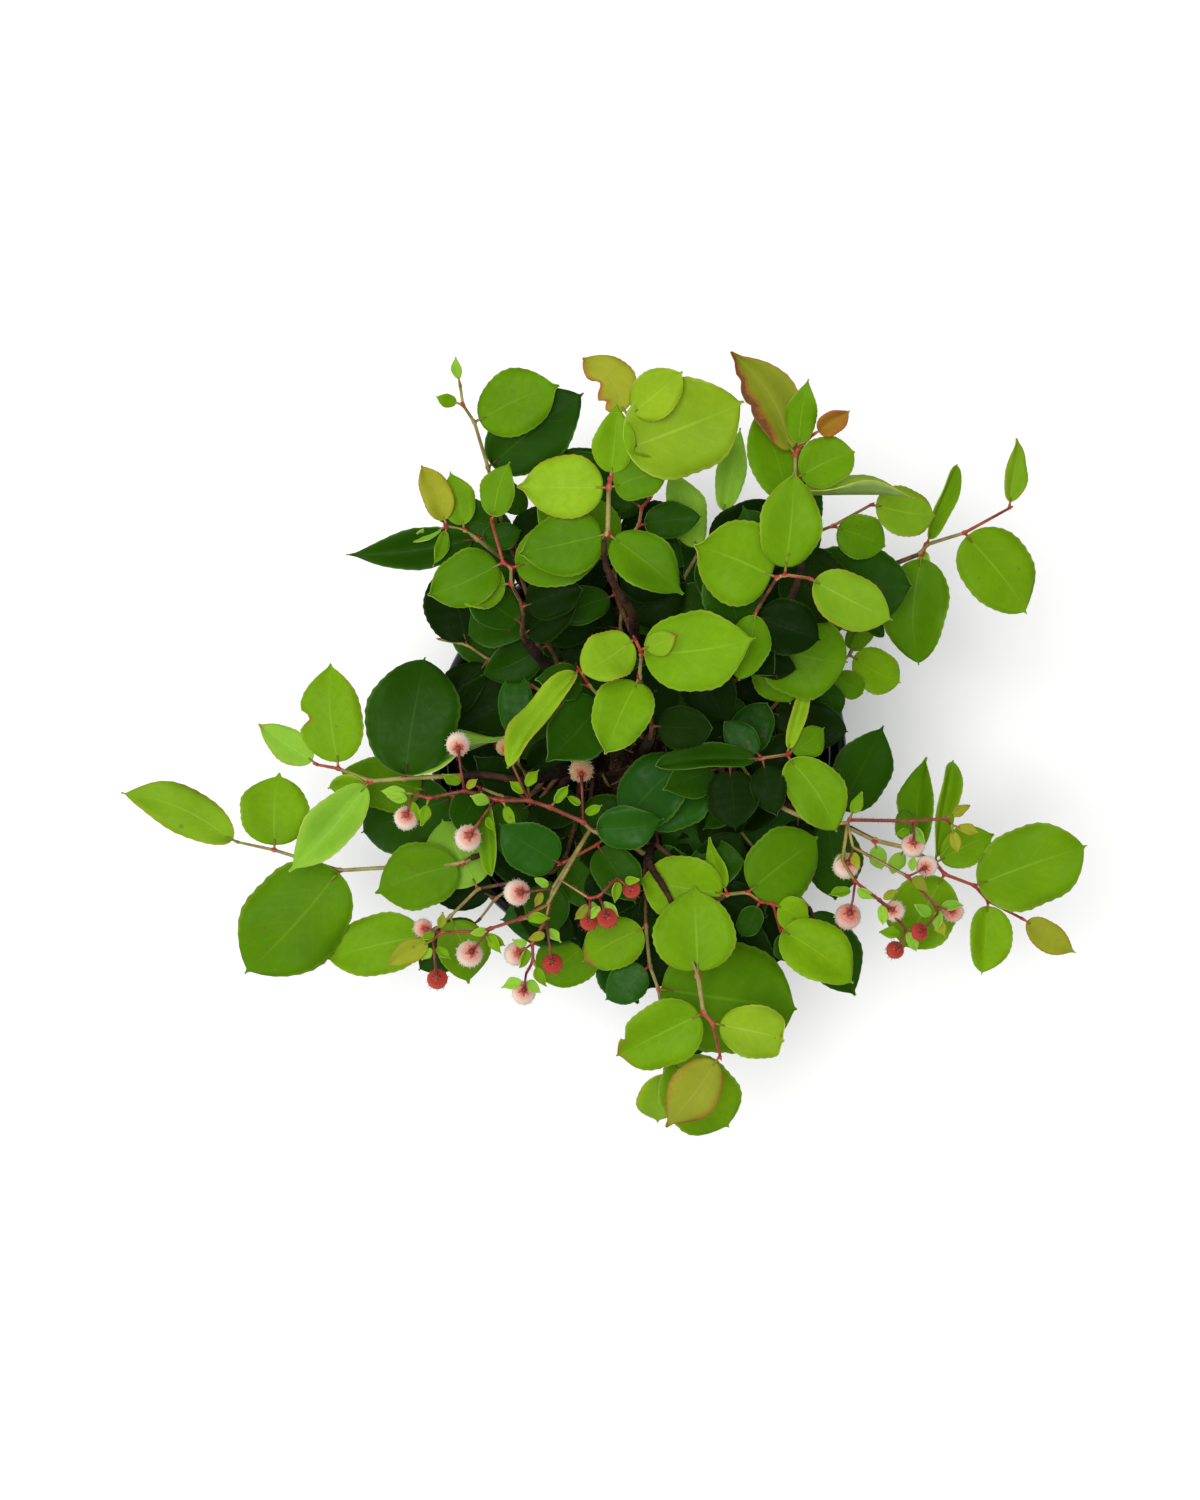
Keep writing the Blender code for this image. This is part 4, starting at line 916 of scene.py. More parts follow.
def petals(name, crown, shoulder, body, mouth):
    # an urn's colour runs down from its stalk by the attribute "fall", from 0 to 1
    made, tree, shader = newMaterial(name, **{"Specular IOR Level": 0.15})
    coords = objectCoords(tree)
    fall = tree.nodes.new("ShaderNodeAttribute")
    fall.attribute_name = "fall"
    streak = mathNode(tree, "MULTIPLY", mathNode(tree, "SUBTRACT", noiseOf(tree, coords, 620, 4, 0.6), 0.5), 0.10)
    down = mathNode(tree, "ADD", fall.outputs["Fac"], streak)
    colour = mixColour(tree, spread(tree, down, 0.00, 0.05), crown, shoulder)
    colour = mixColour(tree, spread(tree, down, 0.05, 0.22), colour, body)
    colour = mixColour(tree, spread(tree, down, 0.72, 0.95), colour, mouth)
    link(tree, colour, shader.inputs["Base Color"])
    link(tree, spread(tree, noiseOf(tree, coords, 900, 3), 0.3, 0.7, 0.55, 0.75), shader.inputs["Roughness"])
    bumped(tree, shader, noiseOf(tree, coords, 1400, 4, 0.65), 0.6, 0.0004)
    return made


petalCream = petals("petalCream", (0.38, 0.07, 0.05), (0.56, 0.29, 0.22), (0.66, 0.55, 0.45), (0.54, 0.28, 0.22))
petalPink = petals("petalPink", (0.34, 0.05, 0.04), (0.50, 0.19, 0.14), (0.58, 0.38, 0.30), (0.46, 0.16, 0.13))
budRed = petals("budRed", (0.14, 0.010, 0.010), (0.32, 0.026, 0.018), (0.38, 0.055, 0.035), (0.26, 0.03, 0.03))
budTan = petals("budTan", (0.20, 0.050, 0.030), (0.34, 0.19, 0.09), (0.36, 0.26, 0.13), (0.26, 0.14, 0.06))


def potPlastic():
    made, tree, shader = newMaterial("potPlastic", **{"Specular IOR Level": 0.35})
    coords = objectCoords(tree)
    dust = spread(tree, noiseOf(tree, coords, 30, 6, 0.65), 0.5, 0.75)
    grain = noiseOf(tree, coords, 1500, 3)
    colour = mixColour(tree, mathNode(tree, "MULTIPLY", dust, 0.25), (0.003, 0.0034, 0.005), (0.030, 0.030, 0.031))
    link(tree, colour, shader.inputs["Base Color"])
    link(tree, spread(tree, noiseOf(tree, coords, 60, 4), 0.3, 0.75, 0.24, 0.48), shader.inputs["Roughness"])
    bumped(tree, shader, grain, 0.12, 0.0002)
    return made


# Pieces

def finishPiece(name, bm, materials, replaced, smooth=True):
    mesh = bpy.data.meshes.new(name)
    bm.to_mesh(mesh)
    bm.free()
    made = bpy.data.objects.new(name, mesh)
    bpy.context.scene.collection.objects.link(made)
    for material in materials:
        mesh.materials.append(material)
    if smooth:
        mesh.shade_smooth()
    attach(made, "root")
    if replaced:
        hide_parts(*replaced)
    print(name, len(mesh.polygons), "faces")
    return made


blade = {
    "rows": 30,              # across the blade, from its base to its tip
    "columns": 6,
    "endCrowd": 0.75,        # how much closer the rows are at both ends
    "teeth": 0.012,          # how far the fine teeth stand out, as a share of the half width
    "body": (0.985, 0.935),  # where the round of the blade ends, on a blunt leaf and on a pointed one
    "dripStart": 0.90,
    "dripWidth": (0.07, 0.15),
    "pointed": 0.30,         # how much slimmer a pointed leaf's end is
    "straight": 0.45,        # how much straighter its sides run there
    "edgeWave": 0.035,       # how far the outline swings in and out
    "heart": 0.035,          # how far a round leaf's base reaches back past its stalk
    "widest": (0.37, 0.47),
    "thickness": 0.34 * mm,
    "quilt": 0.013,
    "midrib": 0.020,
}

# How each form's outline falls away to its base and to its tip, and how blunt its end is. Higher is fuller.
outlines = {
    "round": (2.8, 2.6, 0.54), "wide": (2.7, 2.5, 0.56), "broad": (2.5, 2.3, 0.60), "oval": (2.2, 2.1, 0.64),
    "long": (2.1, 2.0, 0.68), "lance": (1.9, 1.8, 0.80), "strap": (2.8, 3.4, 0.60), "edge": (2.2, 2.2, 0.66),
    "bract": (1.9, 1.8, 0.85),
}

# The lowest and highest fold of each form's two halves
cups = {"edge": (0.35, 0.55), "strap": (0.75, 1.15), "lance": (0.35, 0.60), "bract": (0.1, 0.5)}

# How red the edge of each tint turns towards its tip
edgeBlush = {"young": 0.40, "light": 0.40, "yellow": 0.55, "mid": 0.28, "dark": 0.15, "deep": 0.05, "blue": 0.10,
             "pale": 0.40, "bronze": 0.70, "orange": 0.75}

# Leaves with a look of their own, by spray and by their number from its root: a brown tip, side (1 left, -1 right),
# rim or all over, a curled tip, a fold along the midrib, a bend to the left, and bites as (place, reach, depth, side)
ownLooks = {
    ("front", 1): dict(tip=0.55, bites=((0.97, 0.05, 0.75, 1), (0.80, 0.04, 0.40, -1))),
    ("front", 2): dict(curl=1.0, tip=0.25),
    ("front", 3): dict(rim=0.42),
    ("front_low", 0): dict(tip=0.85),
    ("back_high", 2): dict(tip=0.35),
    ("back_high", 7): dict(side=(1, 0.60), bend=-0.08, bites=((0.50, 0.10, 0.50, 1), (0.24, 0.05, 0.35, 1))),
    ("back_right_high", 1): dict(tip=0.62),
    ("back_right_high", 3): dict(side=(1, 1.0), tip=0.4, fold=0.75, bend=-0.09,
                                 bites=((0.45, 0.05, 0.16, 1), (0.70, 0.04, 0.20, 1))),
    ("back_right_high", 5): dict(rim=0.5, tip=0.4, fold=0.70),
    ("left", 2): dict(fold=0.80),
    ("left", 4): dict(side=(-1, 0.30), fold=0.05, bend=0.05, bites=((0.42, 0.06, 0.35, 1),)),
    ("left", 5): dict(tip=0.55, side=(1, 0.40)),
    ("right", 8): dict(fold=0.62, bites=((1.0, 0.07, 0.40, 1), (1.0, 0.07, 0.40, -1)), tip=0.3),
    ("back_left", 0): dict(fold=0.05, bend=-0.10),
    ("back_left", 4): dict(tip=0.4),
    ("far_left", 3): dict(fold=0.05, bend=-0.08),
    ("right_back", 3): dict(fold=0.05, bend=0.06),
    ("right_back", 4): dict(tip=0.4),
    ("centre_top", 2): dict(tip=1.0),
}


def crowded(share):
    # closer rows towards both ends of a blade
    return share + (0.5 - 0.5 * math.cos(math.pi * share) - share) * blade["endCrowd"]


def between(pair, share):
    return pair[0] + (pair[1] - pair[0]) * share


def bladeHalf(share, form, widest, point):
    # half the blade's outline at a share of its length, from 0 to 1
    base, tip, blunt = outlines[form]
    if share < widest:
        return math.sqrt(max(0, 1 - (1 - share / widest) ** base))
    body = (share - widest) / (between(blade["body"], point) - widest)
    half = max(0, 1 - min(1, body) ** (tip - blade["straight"] * point)) ** (blunt + blade["pointed"] * point)
    if share > blade["dripStart"]:
        half = max(half, between(blade["dripWidth"], point) * (1 - share) / (1 - blade["dripStart"]))
    return half


def smooth(share):
    share = max(0, min(1, share))
    return share * share * (3 - 2 * share)


def addBlade(bm, leaf, rng, own):
    # one leaf's upper surface as a grid, with its drip tip, fine teeth, sunk veins and any bites
    rows, columns = blade["rows"], blade["columns"]
    grid = bmesh.ops.create_grid(bm, x_segments=rows, y_segments=columns, size=0.5, calc_uvs=True)["verts"]
    length, width, form = leaf["length"], leaf["width"], leaf["form"]
    cup = own.get("fold", rng.uniform(*cups.get(form, (-0.05, 0.32))))
    droop = rng.uniform(0.02, 0.17)
    tipCurl = rng.uniform(-0.5, 1.4)
    twist = rng.uniform(-0.20, 0.20)
    wave = rng.uniform(0.012, 0.055)
    bend = own.get("bend", 0) + rng.uniform(-0.05, 0.05)
    lopsided = rng.uniform(-0.06, 0.06)
    wavePhase = rng.uniform(0, math.tau)
    widest = rng.uniform(*blade["widest"])
    point = 0 if form == "strap" else rng.uniform(0.2, 1)
    tone = min(1, max(0, rng.gauss(0.5, 0.2)))
    blush = edgeBlush[leaf["tint"]] * rng.uniform(0.2, 1.0)
    uvLayer = bm.loops.layers.uv["blade"]
    hurtLayer = bm.verts.layers.float["hurt"]
    toneLayer = bm.verts.layers.float["tone"]
    faces = {face for vert in grid for face in vert.link_faces}
    for face in faces:
        for loop in face.loops:
            loop[uvLayer].uv = (crowded(loop.vert.co.x + 0.5), loop.vert.co.y + 0.5)
    heart = blade["heart"] if form in ("round", "wide", "broad") else 0.01
    for vert in grid:
        u, v = crowded(vert.co.x + 0.5), vert.co.y * 2
        row = round((vert.co.x + 0.5) * rows)
        half = bladeHalf(u, form, widest, point) * width / 2 * (1 + lopsided * (1 if v > 0 else -1))
        swing = math.sin(math.tau * 1.6 * u + wavePhase * (2 if v > 0 else 1))
        half *= 1 + blade["edgeWave"] * swing * math.sin(math.pi * u)
        if abs(v) > 0.99:
            half *= 1 + blade["teeth"] * (1 if row % 2 else -1)
        harm = blush * smooth((abs(v) - 0.80) / 0.20) * smooth((u - 0.25) / 0.6)
        for place, reach, depth, side in own.get("bites", ()):
            near = math.exp(-((u - place) / reach) ** 2)
            if v * side > 0:
                half *= 1 - depth * near
                harm = max(harm, 0.75 * near * abs(v) ** 3)
        half = max(half, 0.08 * mm)
        harm = max(harm, own.get("tip", 0) * smooth((u - 0.68) / 0.30) * (0.6 + 0.4 * abs(v)))
        harm = max(harm, own.get("rim", 0) * smooth((abs(v) - 0.15) / 0.85), own.get("all", 0))
        side, much = own.get("side", (0, 0))
        harm = max(harm, much * smooth((v * side - 0.30) / 0.65) * smooth(u * 5))
        vert[hurtLayer] = harm
        vert[toneLayer] = tone
        slant = 0.045 * length * abs(v) * math.sin(math.pi * u) - heart * length * v * v * (1 - u) ** 5
        x = growth["petioleLength"] + length * u + slant
        y = half * v / math.sqrt(1 + cup * cup)
        z = cup * abs(y) - droop * length * u * u - 0.04 * tipCurl * length * smooth((u - 0.7) / 0.3)
        ripple = math.cos(math.tau * leafLook["veins"] * (u - 0.10 * abs(v)))
        z -= blade["quilt"] * length * 0.5 * ripple * math.sin(math.pi * min(1, abs(v))) * math.sin(math.pi * u)
        z -= blade["midrib"] * length * max(0, 1 - abs(v) * 3) * (1 - u)
        z += wave * length * v * v * math.sin(math.tau * 1.5 * u + wavePhase)
        y += bend * length * math.sin(math.pi * u)
        curl = own.get("curl", 0) * smooth((u - 0.62) / 0.38)
        x -= 0.16 * length * curl * curl
        z += 0.13 * length * curl
        turn = Quaternion((1, 0, 0), twist * u * 2)
        vert.co = leaf["placed"] @ (turn @ Vector((x, y, z)))


def makeLeaves(tint):
    bm = bmesh.new()
    bm.loops.layers.uv.new("blade")
    bm.verts.layers.float.new("hurt")
    bm.verts.layers.float.new("tone")
    replaced = set()
    for spray in sprays:
        name = spray["spec"]["spray"]
        rng = random.Random("blades " + name)
        for leaf in spray["leaves"]:
            seed = rng.random()
            if leaf["tint"] == tint:
                addBlade(bm, leaf, random.Random(seed), ownLooks.get((name, leaf["number"]), {}))
                replaced.add(name)
    made = finishPiece("leaves_" + tint, bm, [leafUpper(tint), leafUnder(tint), leafMargin(tint)],
                       sorted(replaced))
    wall = made.modifiers.new("thickness", "SOLIDIFY")
    wall.thickness = blade["thickness"]
    wall.offset = -1
    wall.material_offset = 1
    wall.material_offset_rim = 2
    return made


for tint in leafColours:
    makeLeaves(tint)


twigLook = {
    "sides": 7,
    "swell": 1.6,            # how much wider a stem is at a node
    "swellReach": 1.3 * mm,
    "budLength": 2.0 * mm,
    "budWidth": 1.1 * mm,
    "oldShare": 0.35,        # the part of a shoot past its lead that is still tan before it turns red
}
twigFinishes = {"old": 0, "tan": 1, "red": 2, "node": 3, "green": 4, "raceme": 5}
twigMaterials = [stemBrown, stemTan, stemRed, nodeRed, petioleGreen, racemeRed]


def newFaces(bm, before, material):
    for face in set(bm.faces) - before:
        face.material_index = material


def twigTube(bm, twig, finishes, sides):
    # a stem with a swelling at each node past its lead: old wood, then tan, then red
    line, lead = twig["line"], twig["lead"]
    points, widths, marks = [], [], []
    for index, point in enumerate(line):
        radius = twig["radii"][index]
        share = (index - lead) / max(1, len(line) - lead)
        finish = finishes[0] if index < lead else finishes[1] if share < twigLook["oldShare"] else finishes[2]
        if index >= lead and 0 < index < len(line) - 1:
            before, after = point - line[index - 1], line[index + 1] - point
            reach = min(twigLook["swellReach"], before.length * 0.4, after.length * 0.4)
            points += [point - before.normalized() * reach, point, point + after.normalized() * reach]
            widths += [radius, radius * twigLook["swell"], radius]
            marks += [finish, "node", finish]
        else:
            points.append(point)
            widths.append(radius)
            marks.append(finish)
    before = set(bm.faces)
    tube(points, widths, sides, bm=bm)
    for face in set(bm.faces) - before:
        centre = face.calc_center_median()
        nearest = min(range(len(points)), key=lambda i: (points[i] - centre).length)
        face.material_index = twigFinishes[marks[nearest]]


def addBud(bm, place, way, length, width, material):
    before = set(bm.faces)
    line = [place + way * (length * share) for share in (-0.2, 0.25, 0.65, 1)]
    tube(line, [width * 0.35, width * 0.5, width * 0.36, width * 0.06], 5, bm=bm)
    newFaces(bm, before, material)


def makeTwigs():
    bm = bmesh.new()
    names = []
    for spray in sprays:
        name = spray["spec"]["spray"]
        names.append(name)
        rng = random.Random("twigs " + name)
        finishes = ("old", "tan", "red")
        if name.startswith("blossom"):
            finishes = ("tan", "raceme", "raceme")
        elif name in paleStems or name.startswith("under"):
            finishes = ("old", "tan", "tan")
        for twig in spray["twigs"]:
            twigTube(bm, twig, finishes, twigLook["sides"])
            if not name.startswith("blossom"):
                way = (twig["line"][-1] - twig["line"][-2]).normalized()
                addBud(bm, twig["line"][-1], way, twigLook["budLength"], twigLook["budWidth"], 3)
        for leaf in spray["leaves"]:
            if leaf["number"] is None:
                continue
            isShaded = leaf["tint"] in ("dark", "deep", "blue")
            root = leaf["placed"] @ Vector((-growth["petioleRoot"], 0, 0))
            middle = leaf["placed"] @ Vector((growth["petioleLength"] * 0.55, 0, 0.1 * mm))
            end = leaf["placed"] @ Vector((growth["petioleLength"] + 0.06 * leaf["length"], 0, -0.15 * mm))
            before = set(bm.faces)
            tube([root, middle, end], [0.75 * mm, 0.5 * mm, 0.32 * mm], 6, bm=bm)
            for face in set(bm.faces) - before:
                nearRoot = (face.calc_center_median() - root).length < (middle - root).length
                face.material_index = 3 if nearRoot and finishes[2] == "red" else 0 if isShaded else 4
            if finishes[2] == "red" and rng.random() < 0.6:
                out = ((middle - root).normalized() + up * 1.2).normalized()
                addBud(bm, root, out, twigLook["budLength"] * 0.8, twigLook["budWidth"] * 0.8, 3)
    bmesh.ops.recalc_face_normals(bm, faces=bm.faces)
    return finishPiece("twigs", bm, twigMaterials, names)


makeTwigs()


def makeWood(name, chosen, material):
    # stems and boughs with lifted bark: fine rings, pushed in and out along their length
    bm = bmesh.new()
    for limbName in chosen:
        limb = limbs[limbName]
        line, radii = [], []
        count = len(limb["line"])
        steps = 5
        for index in range(count - 1):
            for step in range(steps):
                t = step / steps
                line.append(limb["line"][index].lerp(limb["line"][index + 1], t))
                radii.append(limb["radii"][index] * (1 - t) + limb["radii"][index + 1] * t)
        line.append(limb["line"][-1])
        radii.append(limb["radii"][-1])
        tube(line, radii, 14, bm=bm)
    bmesh.ops.recalc_face_normals(bm, faces=bm.faces)
    bm.normal_update()
    for vert in bm.verts:
        ridge = noise.noise(Vector((vert.co.x * 900, vert.co.y * 900, vert.co.z * 160)))
        vert.co += vert.normal * (ridge * 0.28 * mm)
    return finishPiece(name, bm, [material], chosen)


makeWood("woodyStems", [name for name, foot, tip in stems], woodBrownShaded)
makeWood("boughWood", [name for name, limb, share, spray in boughs], boughBrownShaded)


urn = {
    "sides": 14,
    "profile": ((0.0, 0.10), (0.05, 0.30), (0.18, 0.44), (0.40, 0.50), (0.62, 0.46), (0.80, 0.34), (0.90, 0.25),
                (0.95, 0.24), (1.0, 0.31), (0.99, 0.25), (0.93, 0.18), (0.85, 0.22)),
    "budProfile": ((0.0, 0.1), (0.08, 0.36), (0.3, 0.5), (0.6, 0.42), (0.85, 0.2), (1.0, 0.04)),
    "hairs": 170,
    "hairLength": 1.15 * mm,
    "hairWidth": 0.13 * mm,
    "sepals": 5,
    "stemHairs": 2.2,        # for each millimetre of a flower shoot
}


# The flowers that are still brown and green, by shoot and number
tanFlowers = {("blossom_left", 1), ("blossom_left", 3)}


def turnedOn(bm, profile, start, way, size, length, sides, material, fallLayer=None):
    sideWay = Vector((0.31, 0.93, 0.17))
    rings = []
    for share, swell in profile:
        ring, sideWay = ringRound(start + way * (share * length), way, max(swell * size, 0.02 * mm), sides, sideWay)
        rings.append(ring)
    before = set(bm.faces)
    lofted(rings, bm=bm)
    for face in set(bm.faces) - before:
        face.material_index = material
        for vert in face.verts if fallLayer else ():
            vert[fallLayer] = max(0, min(1, (vert.co - start).dot(way) / length))


def addHair(bm, place, way, length, width, material):
    stand = Matrix.Translation(place + way * (length / 2)) @ way.to_track_quat("Z", "Y").to_matrix().to_4x4()
    made = bmesh.ops.create_cone(bm, cap_ends=True, segments=3, radius1=width, radius2=0, depth=length,
                                 matrix=stand)["verts"]
    for face in {face for vert in made for face in vert.link_faces}:
        face.material_index = material


def addSepal(bm, start, hang, size, length, angle, material):
    # a narrow pointed tongue that lies on the urn from its crown
    out = hang.orthogonal().normalized()
    out = Quaternion(hang, angle) @ out
    line, radii = [], []
    for share, reach, width in ((0.0, 0.06, 0.04), (0.03, 0.20, 0.05), (0.08, 0.31, 0.04), (0.14, 0.38, 0.01)):
        line.append(start + hang * (share * length) + out * (reach * size))
        radii.append(width * size)
    before = set(bm.faces)
    tube(line, radii, 5, bm=bm)
    newFaces(bm, before, material)


def makeBlossom():
    bm = bmesh.new()
    fallLayer = bm.verts.layers.float.new("fall")
    for spray in sprays:
        for flower in spray["flowers"]:
            rng = random.Random("flower %.4f" % flower["node"].x)
            points, shoulder, hang = flowerLine(flower["node"], flower["out"], flower["reach"], flower["size"])
            size = flower["size"]
            isBud = flower["form"] == "bud"
            before = set(bm.faces)
            tube(points + [shoulder + hang * (0.05 * size)], [0.50 * mm, 0.45 * mm, 0.6 * mm], 6, bm=bm)
            newFaces(bm, before, 4)
            length = size * growth["urnLength"]
            isTan = (spray["spec"]["spray"], flower["number"]) in tanFlowers
            if isBud:
                turnedOn(bm, urn["budProfile"], shoulder, hang, size, length, 12, 3 if isTan else 2, fallLayer)
            else:
                kind = 3 if isTan else 0 if rng.random() < 0.65 else 1
                turnedOn(bm, urn["profile"], shoulder, hang, size, length, urn["sides"], kind, fallLayer)
            # the calyx: a small knob with five pointed sepals laid down the urn
            knob = ((-0.08, 0.07), (-0.03, 0.11), (0.03, 0.14), (0.06, 0.08))
            turnedOn(bm, knob, shoulder, hang, size, length, 9, 4)
            for sepal in range(urn["sepals"]):
                addSepal(bm, shoulder, hang, size * (0.75 if isBud else 0.9), length,
                         math.tau * sepal / urn["sepals"] + rng.random(), 5)
            for hair in range(urn["hairs"] // (3 if isBud else 1)):
                out = Vector((rng.gauss(0, 1), rng.gauss(0, 1), rng.gauss(0, 1))).normalized()
                fall = 0.42 + 0.5 * out.dot(hang)
                place = shoulder + hang * (0.42 * length) + out * (0.47 * size)
                addHair(bm, place, (out + up * 0.15).normalized(), urn["hairLength"] * rng.uniform(0.6, 1.2),
                        urn["hairWidth"], 6 if fall > 0 and not isBud else 7)
        if spray["flowers"]:
            rng = random.Random("hairs " + spray["spec"]["spray"])
            for twig in spray["twigs"]:
                for start, end in zip(twig["line"], twig["line"][1:]):
                    run = end - start
                    for hair in range(int(run.length / mm * urn["stemHairs"])):
                        out = run.orthogonal().normalized()
                        out = Quaternion(run.normalized(), rng.uniform(0, math.tau)) @ out
                        addHair(bm, start + run * rng.random() + out * 0.5 * mm, out,
                                urn["hairLength"] * rng.uniform(0.6, 1.1), urn["hairWidth"] * 0.8, 7)
    bmesh.ops.recalc_face_normals(bm, faces=bm.faces)
    materials = [petalCream, petalPink, budRed, budTan, racemeRed, calyxRed, hairCream, hairRed]
    return finishPiece("blossom", bm, materials, ["blossom_left", "blossom_right"])


makeBlossom()


pot = {
    "height": 165 * mm, "rim": 82.5 * mm, "neck": 76 * mm, "foot": 59 * mm, "wall": 1.5 * mm, "floor": 2.5 * mm,
    "lipWidth": 4.2 * mm, "lipHeight": 14 * mm, "sides": 120, "holes": 8, "holeRadius": 5 * mm,
}


def makePot():
    lipBottom = pot["height"] - pot["lipHeight"]
    lipInside = pot["rim"] - pot["lipWidth"]
    edge = 1 * mm
    foot, neck, rim = pot["foot"], pot["neck"], pot["rim"]
    profile = [(0, 0.4 * mm), (foot - 9 * mm, 0.4 * mm), (foot - 8 * mm, 0), (foot - edge, 0),
               (foot - 0.3 * mm, 0.3 * mm), (foot, edge)]
    for share in (0.25, 0.5, 0.75):
        profile.append((foot + (neck - foot) * share, edge + (lipBottom - 3 * edge) * share))
    profile += [(neck, lipBottom - 2 * edge), (neck + 0.5 * edge, lipBottom - 0.6 * edge),
                (rim - 1.2 * edge, lipBottom - 0.1 * edge), (rim - 0.2 * edge, lipBottom + 0.5 * edge),
                (rim, lipBottom + 1.5 * edge), (rim, pot["height"] - 3 * edge),
                (rim - 0.4 * edge, pot["height"] - 1.2 * edge), (rim - 1.2 * edge, pot["height"] - 0.3 * edge),
                (rim - 2.1 * edge, pot["height"]), (lipInside + 0.8 * edge, pot["height"] - 0.4 * edge),
                (lipInside, pot["height"] - 1.6 * edge), (lipInside - 0.4 * edge, lipBottom + 3 * edge),
                (lipInside - edge, lipBottom), (neck - pot["wall"], lipBottom - 5 * edge),
                (foot - pot["wall"], pot["floor"]), (0, pot["floor"])]
    bm = bmesh.new()
    line = [bm.verts.new((radius, 0, height)) for radius, height in profile]
    edges = [bm.edges.new(pair) for pair in zip(line, line[1:])]
    bmesh.ops.spin(bm, geom=line + edges, cent=(0, 0, 0), axis=(0, 0, 1), angle=math.tau, steps=pot["sides"],
                   use_merge=True, use_duplicate=False)
    bmesh.ops.remove_doubles(bm, verts=bm.verts, dist=0.00001)
    bmesh.ops.recalc_face_normals(bm, faces=bm.faces)
    mesh = bpy.data.meshes.new("potShell")
    bm.to_mesh(mesh)
    bm.free()
    made = bpy.data.objects.new("potShell", mesh)
    bpy.context.scene.collection.objects.link(made)
    cutters = bpy.data.collections.new("drainHoles")
    bpy.context.scene.collection.children.link(cutters)
    for hole in range(pot["holes"]):
        bm = bmesh.new()
        bmesh.ops.create_cone(bm, cap_ends=True, segments=24, radius1=pot["holeRadius"], radius2=pot["holeRadius"],
                              depth=16 * mm)
        angle = math.tau * (hole + 0.5) / pot["holes"]
        place = Matrix.Rotation(angle, 4, "Z") @ Matrix.Translation((foot, 0, 1 * mm))
        bmesh.ops.transform(bm, matrix=place @ Matrix.Rotation(math.radians(50), 4, "Y"), verts=bm.verts)
        cutMesh = bpy.data.meshes.new("drain")
        bm.to_mesh(cutMesh)
        bm.free()
        cutters.objects.link(bpy.data.objects.new("drain_%d" % hole, cutMesh))
    cut = made.modifiers.new("drain", "BOOLEAN")
    cut.operand_type = "COLLECTION"
    cut.collection = cutters
    cut.solver = "MANIFOLD"
    made.data = bpy.data.meshes.new_from_object(made.evaluated_get(bpy.context.evaluated_depsgraph_get()))
    made.modifiers.clear()
    for cutter in list(cutters.objects):
        bpy.data.objects.remove(cutter)
    bpy.data.collections.remove(cutters)
    made.data.materials.clear()
    made.data.materials.append(potPlastic())
    made.data.shade_smooth()
    made.data.set_sharp_from_angle(angle=math.radians(35))
    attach(made, "root")
    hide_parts("pot")
    print("potShell", len(made.data.polygons), "faces")
    return made


makePot()

soil = {
    "chips": 1100, "chipSize": (2.5 * mm, 8.5 * mm), "straws": 120, "strawLength": (8 * mm, 26 * mm),
}


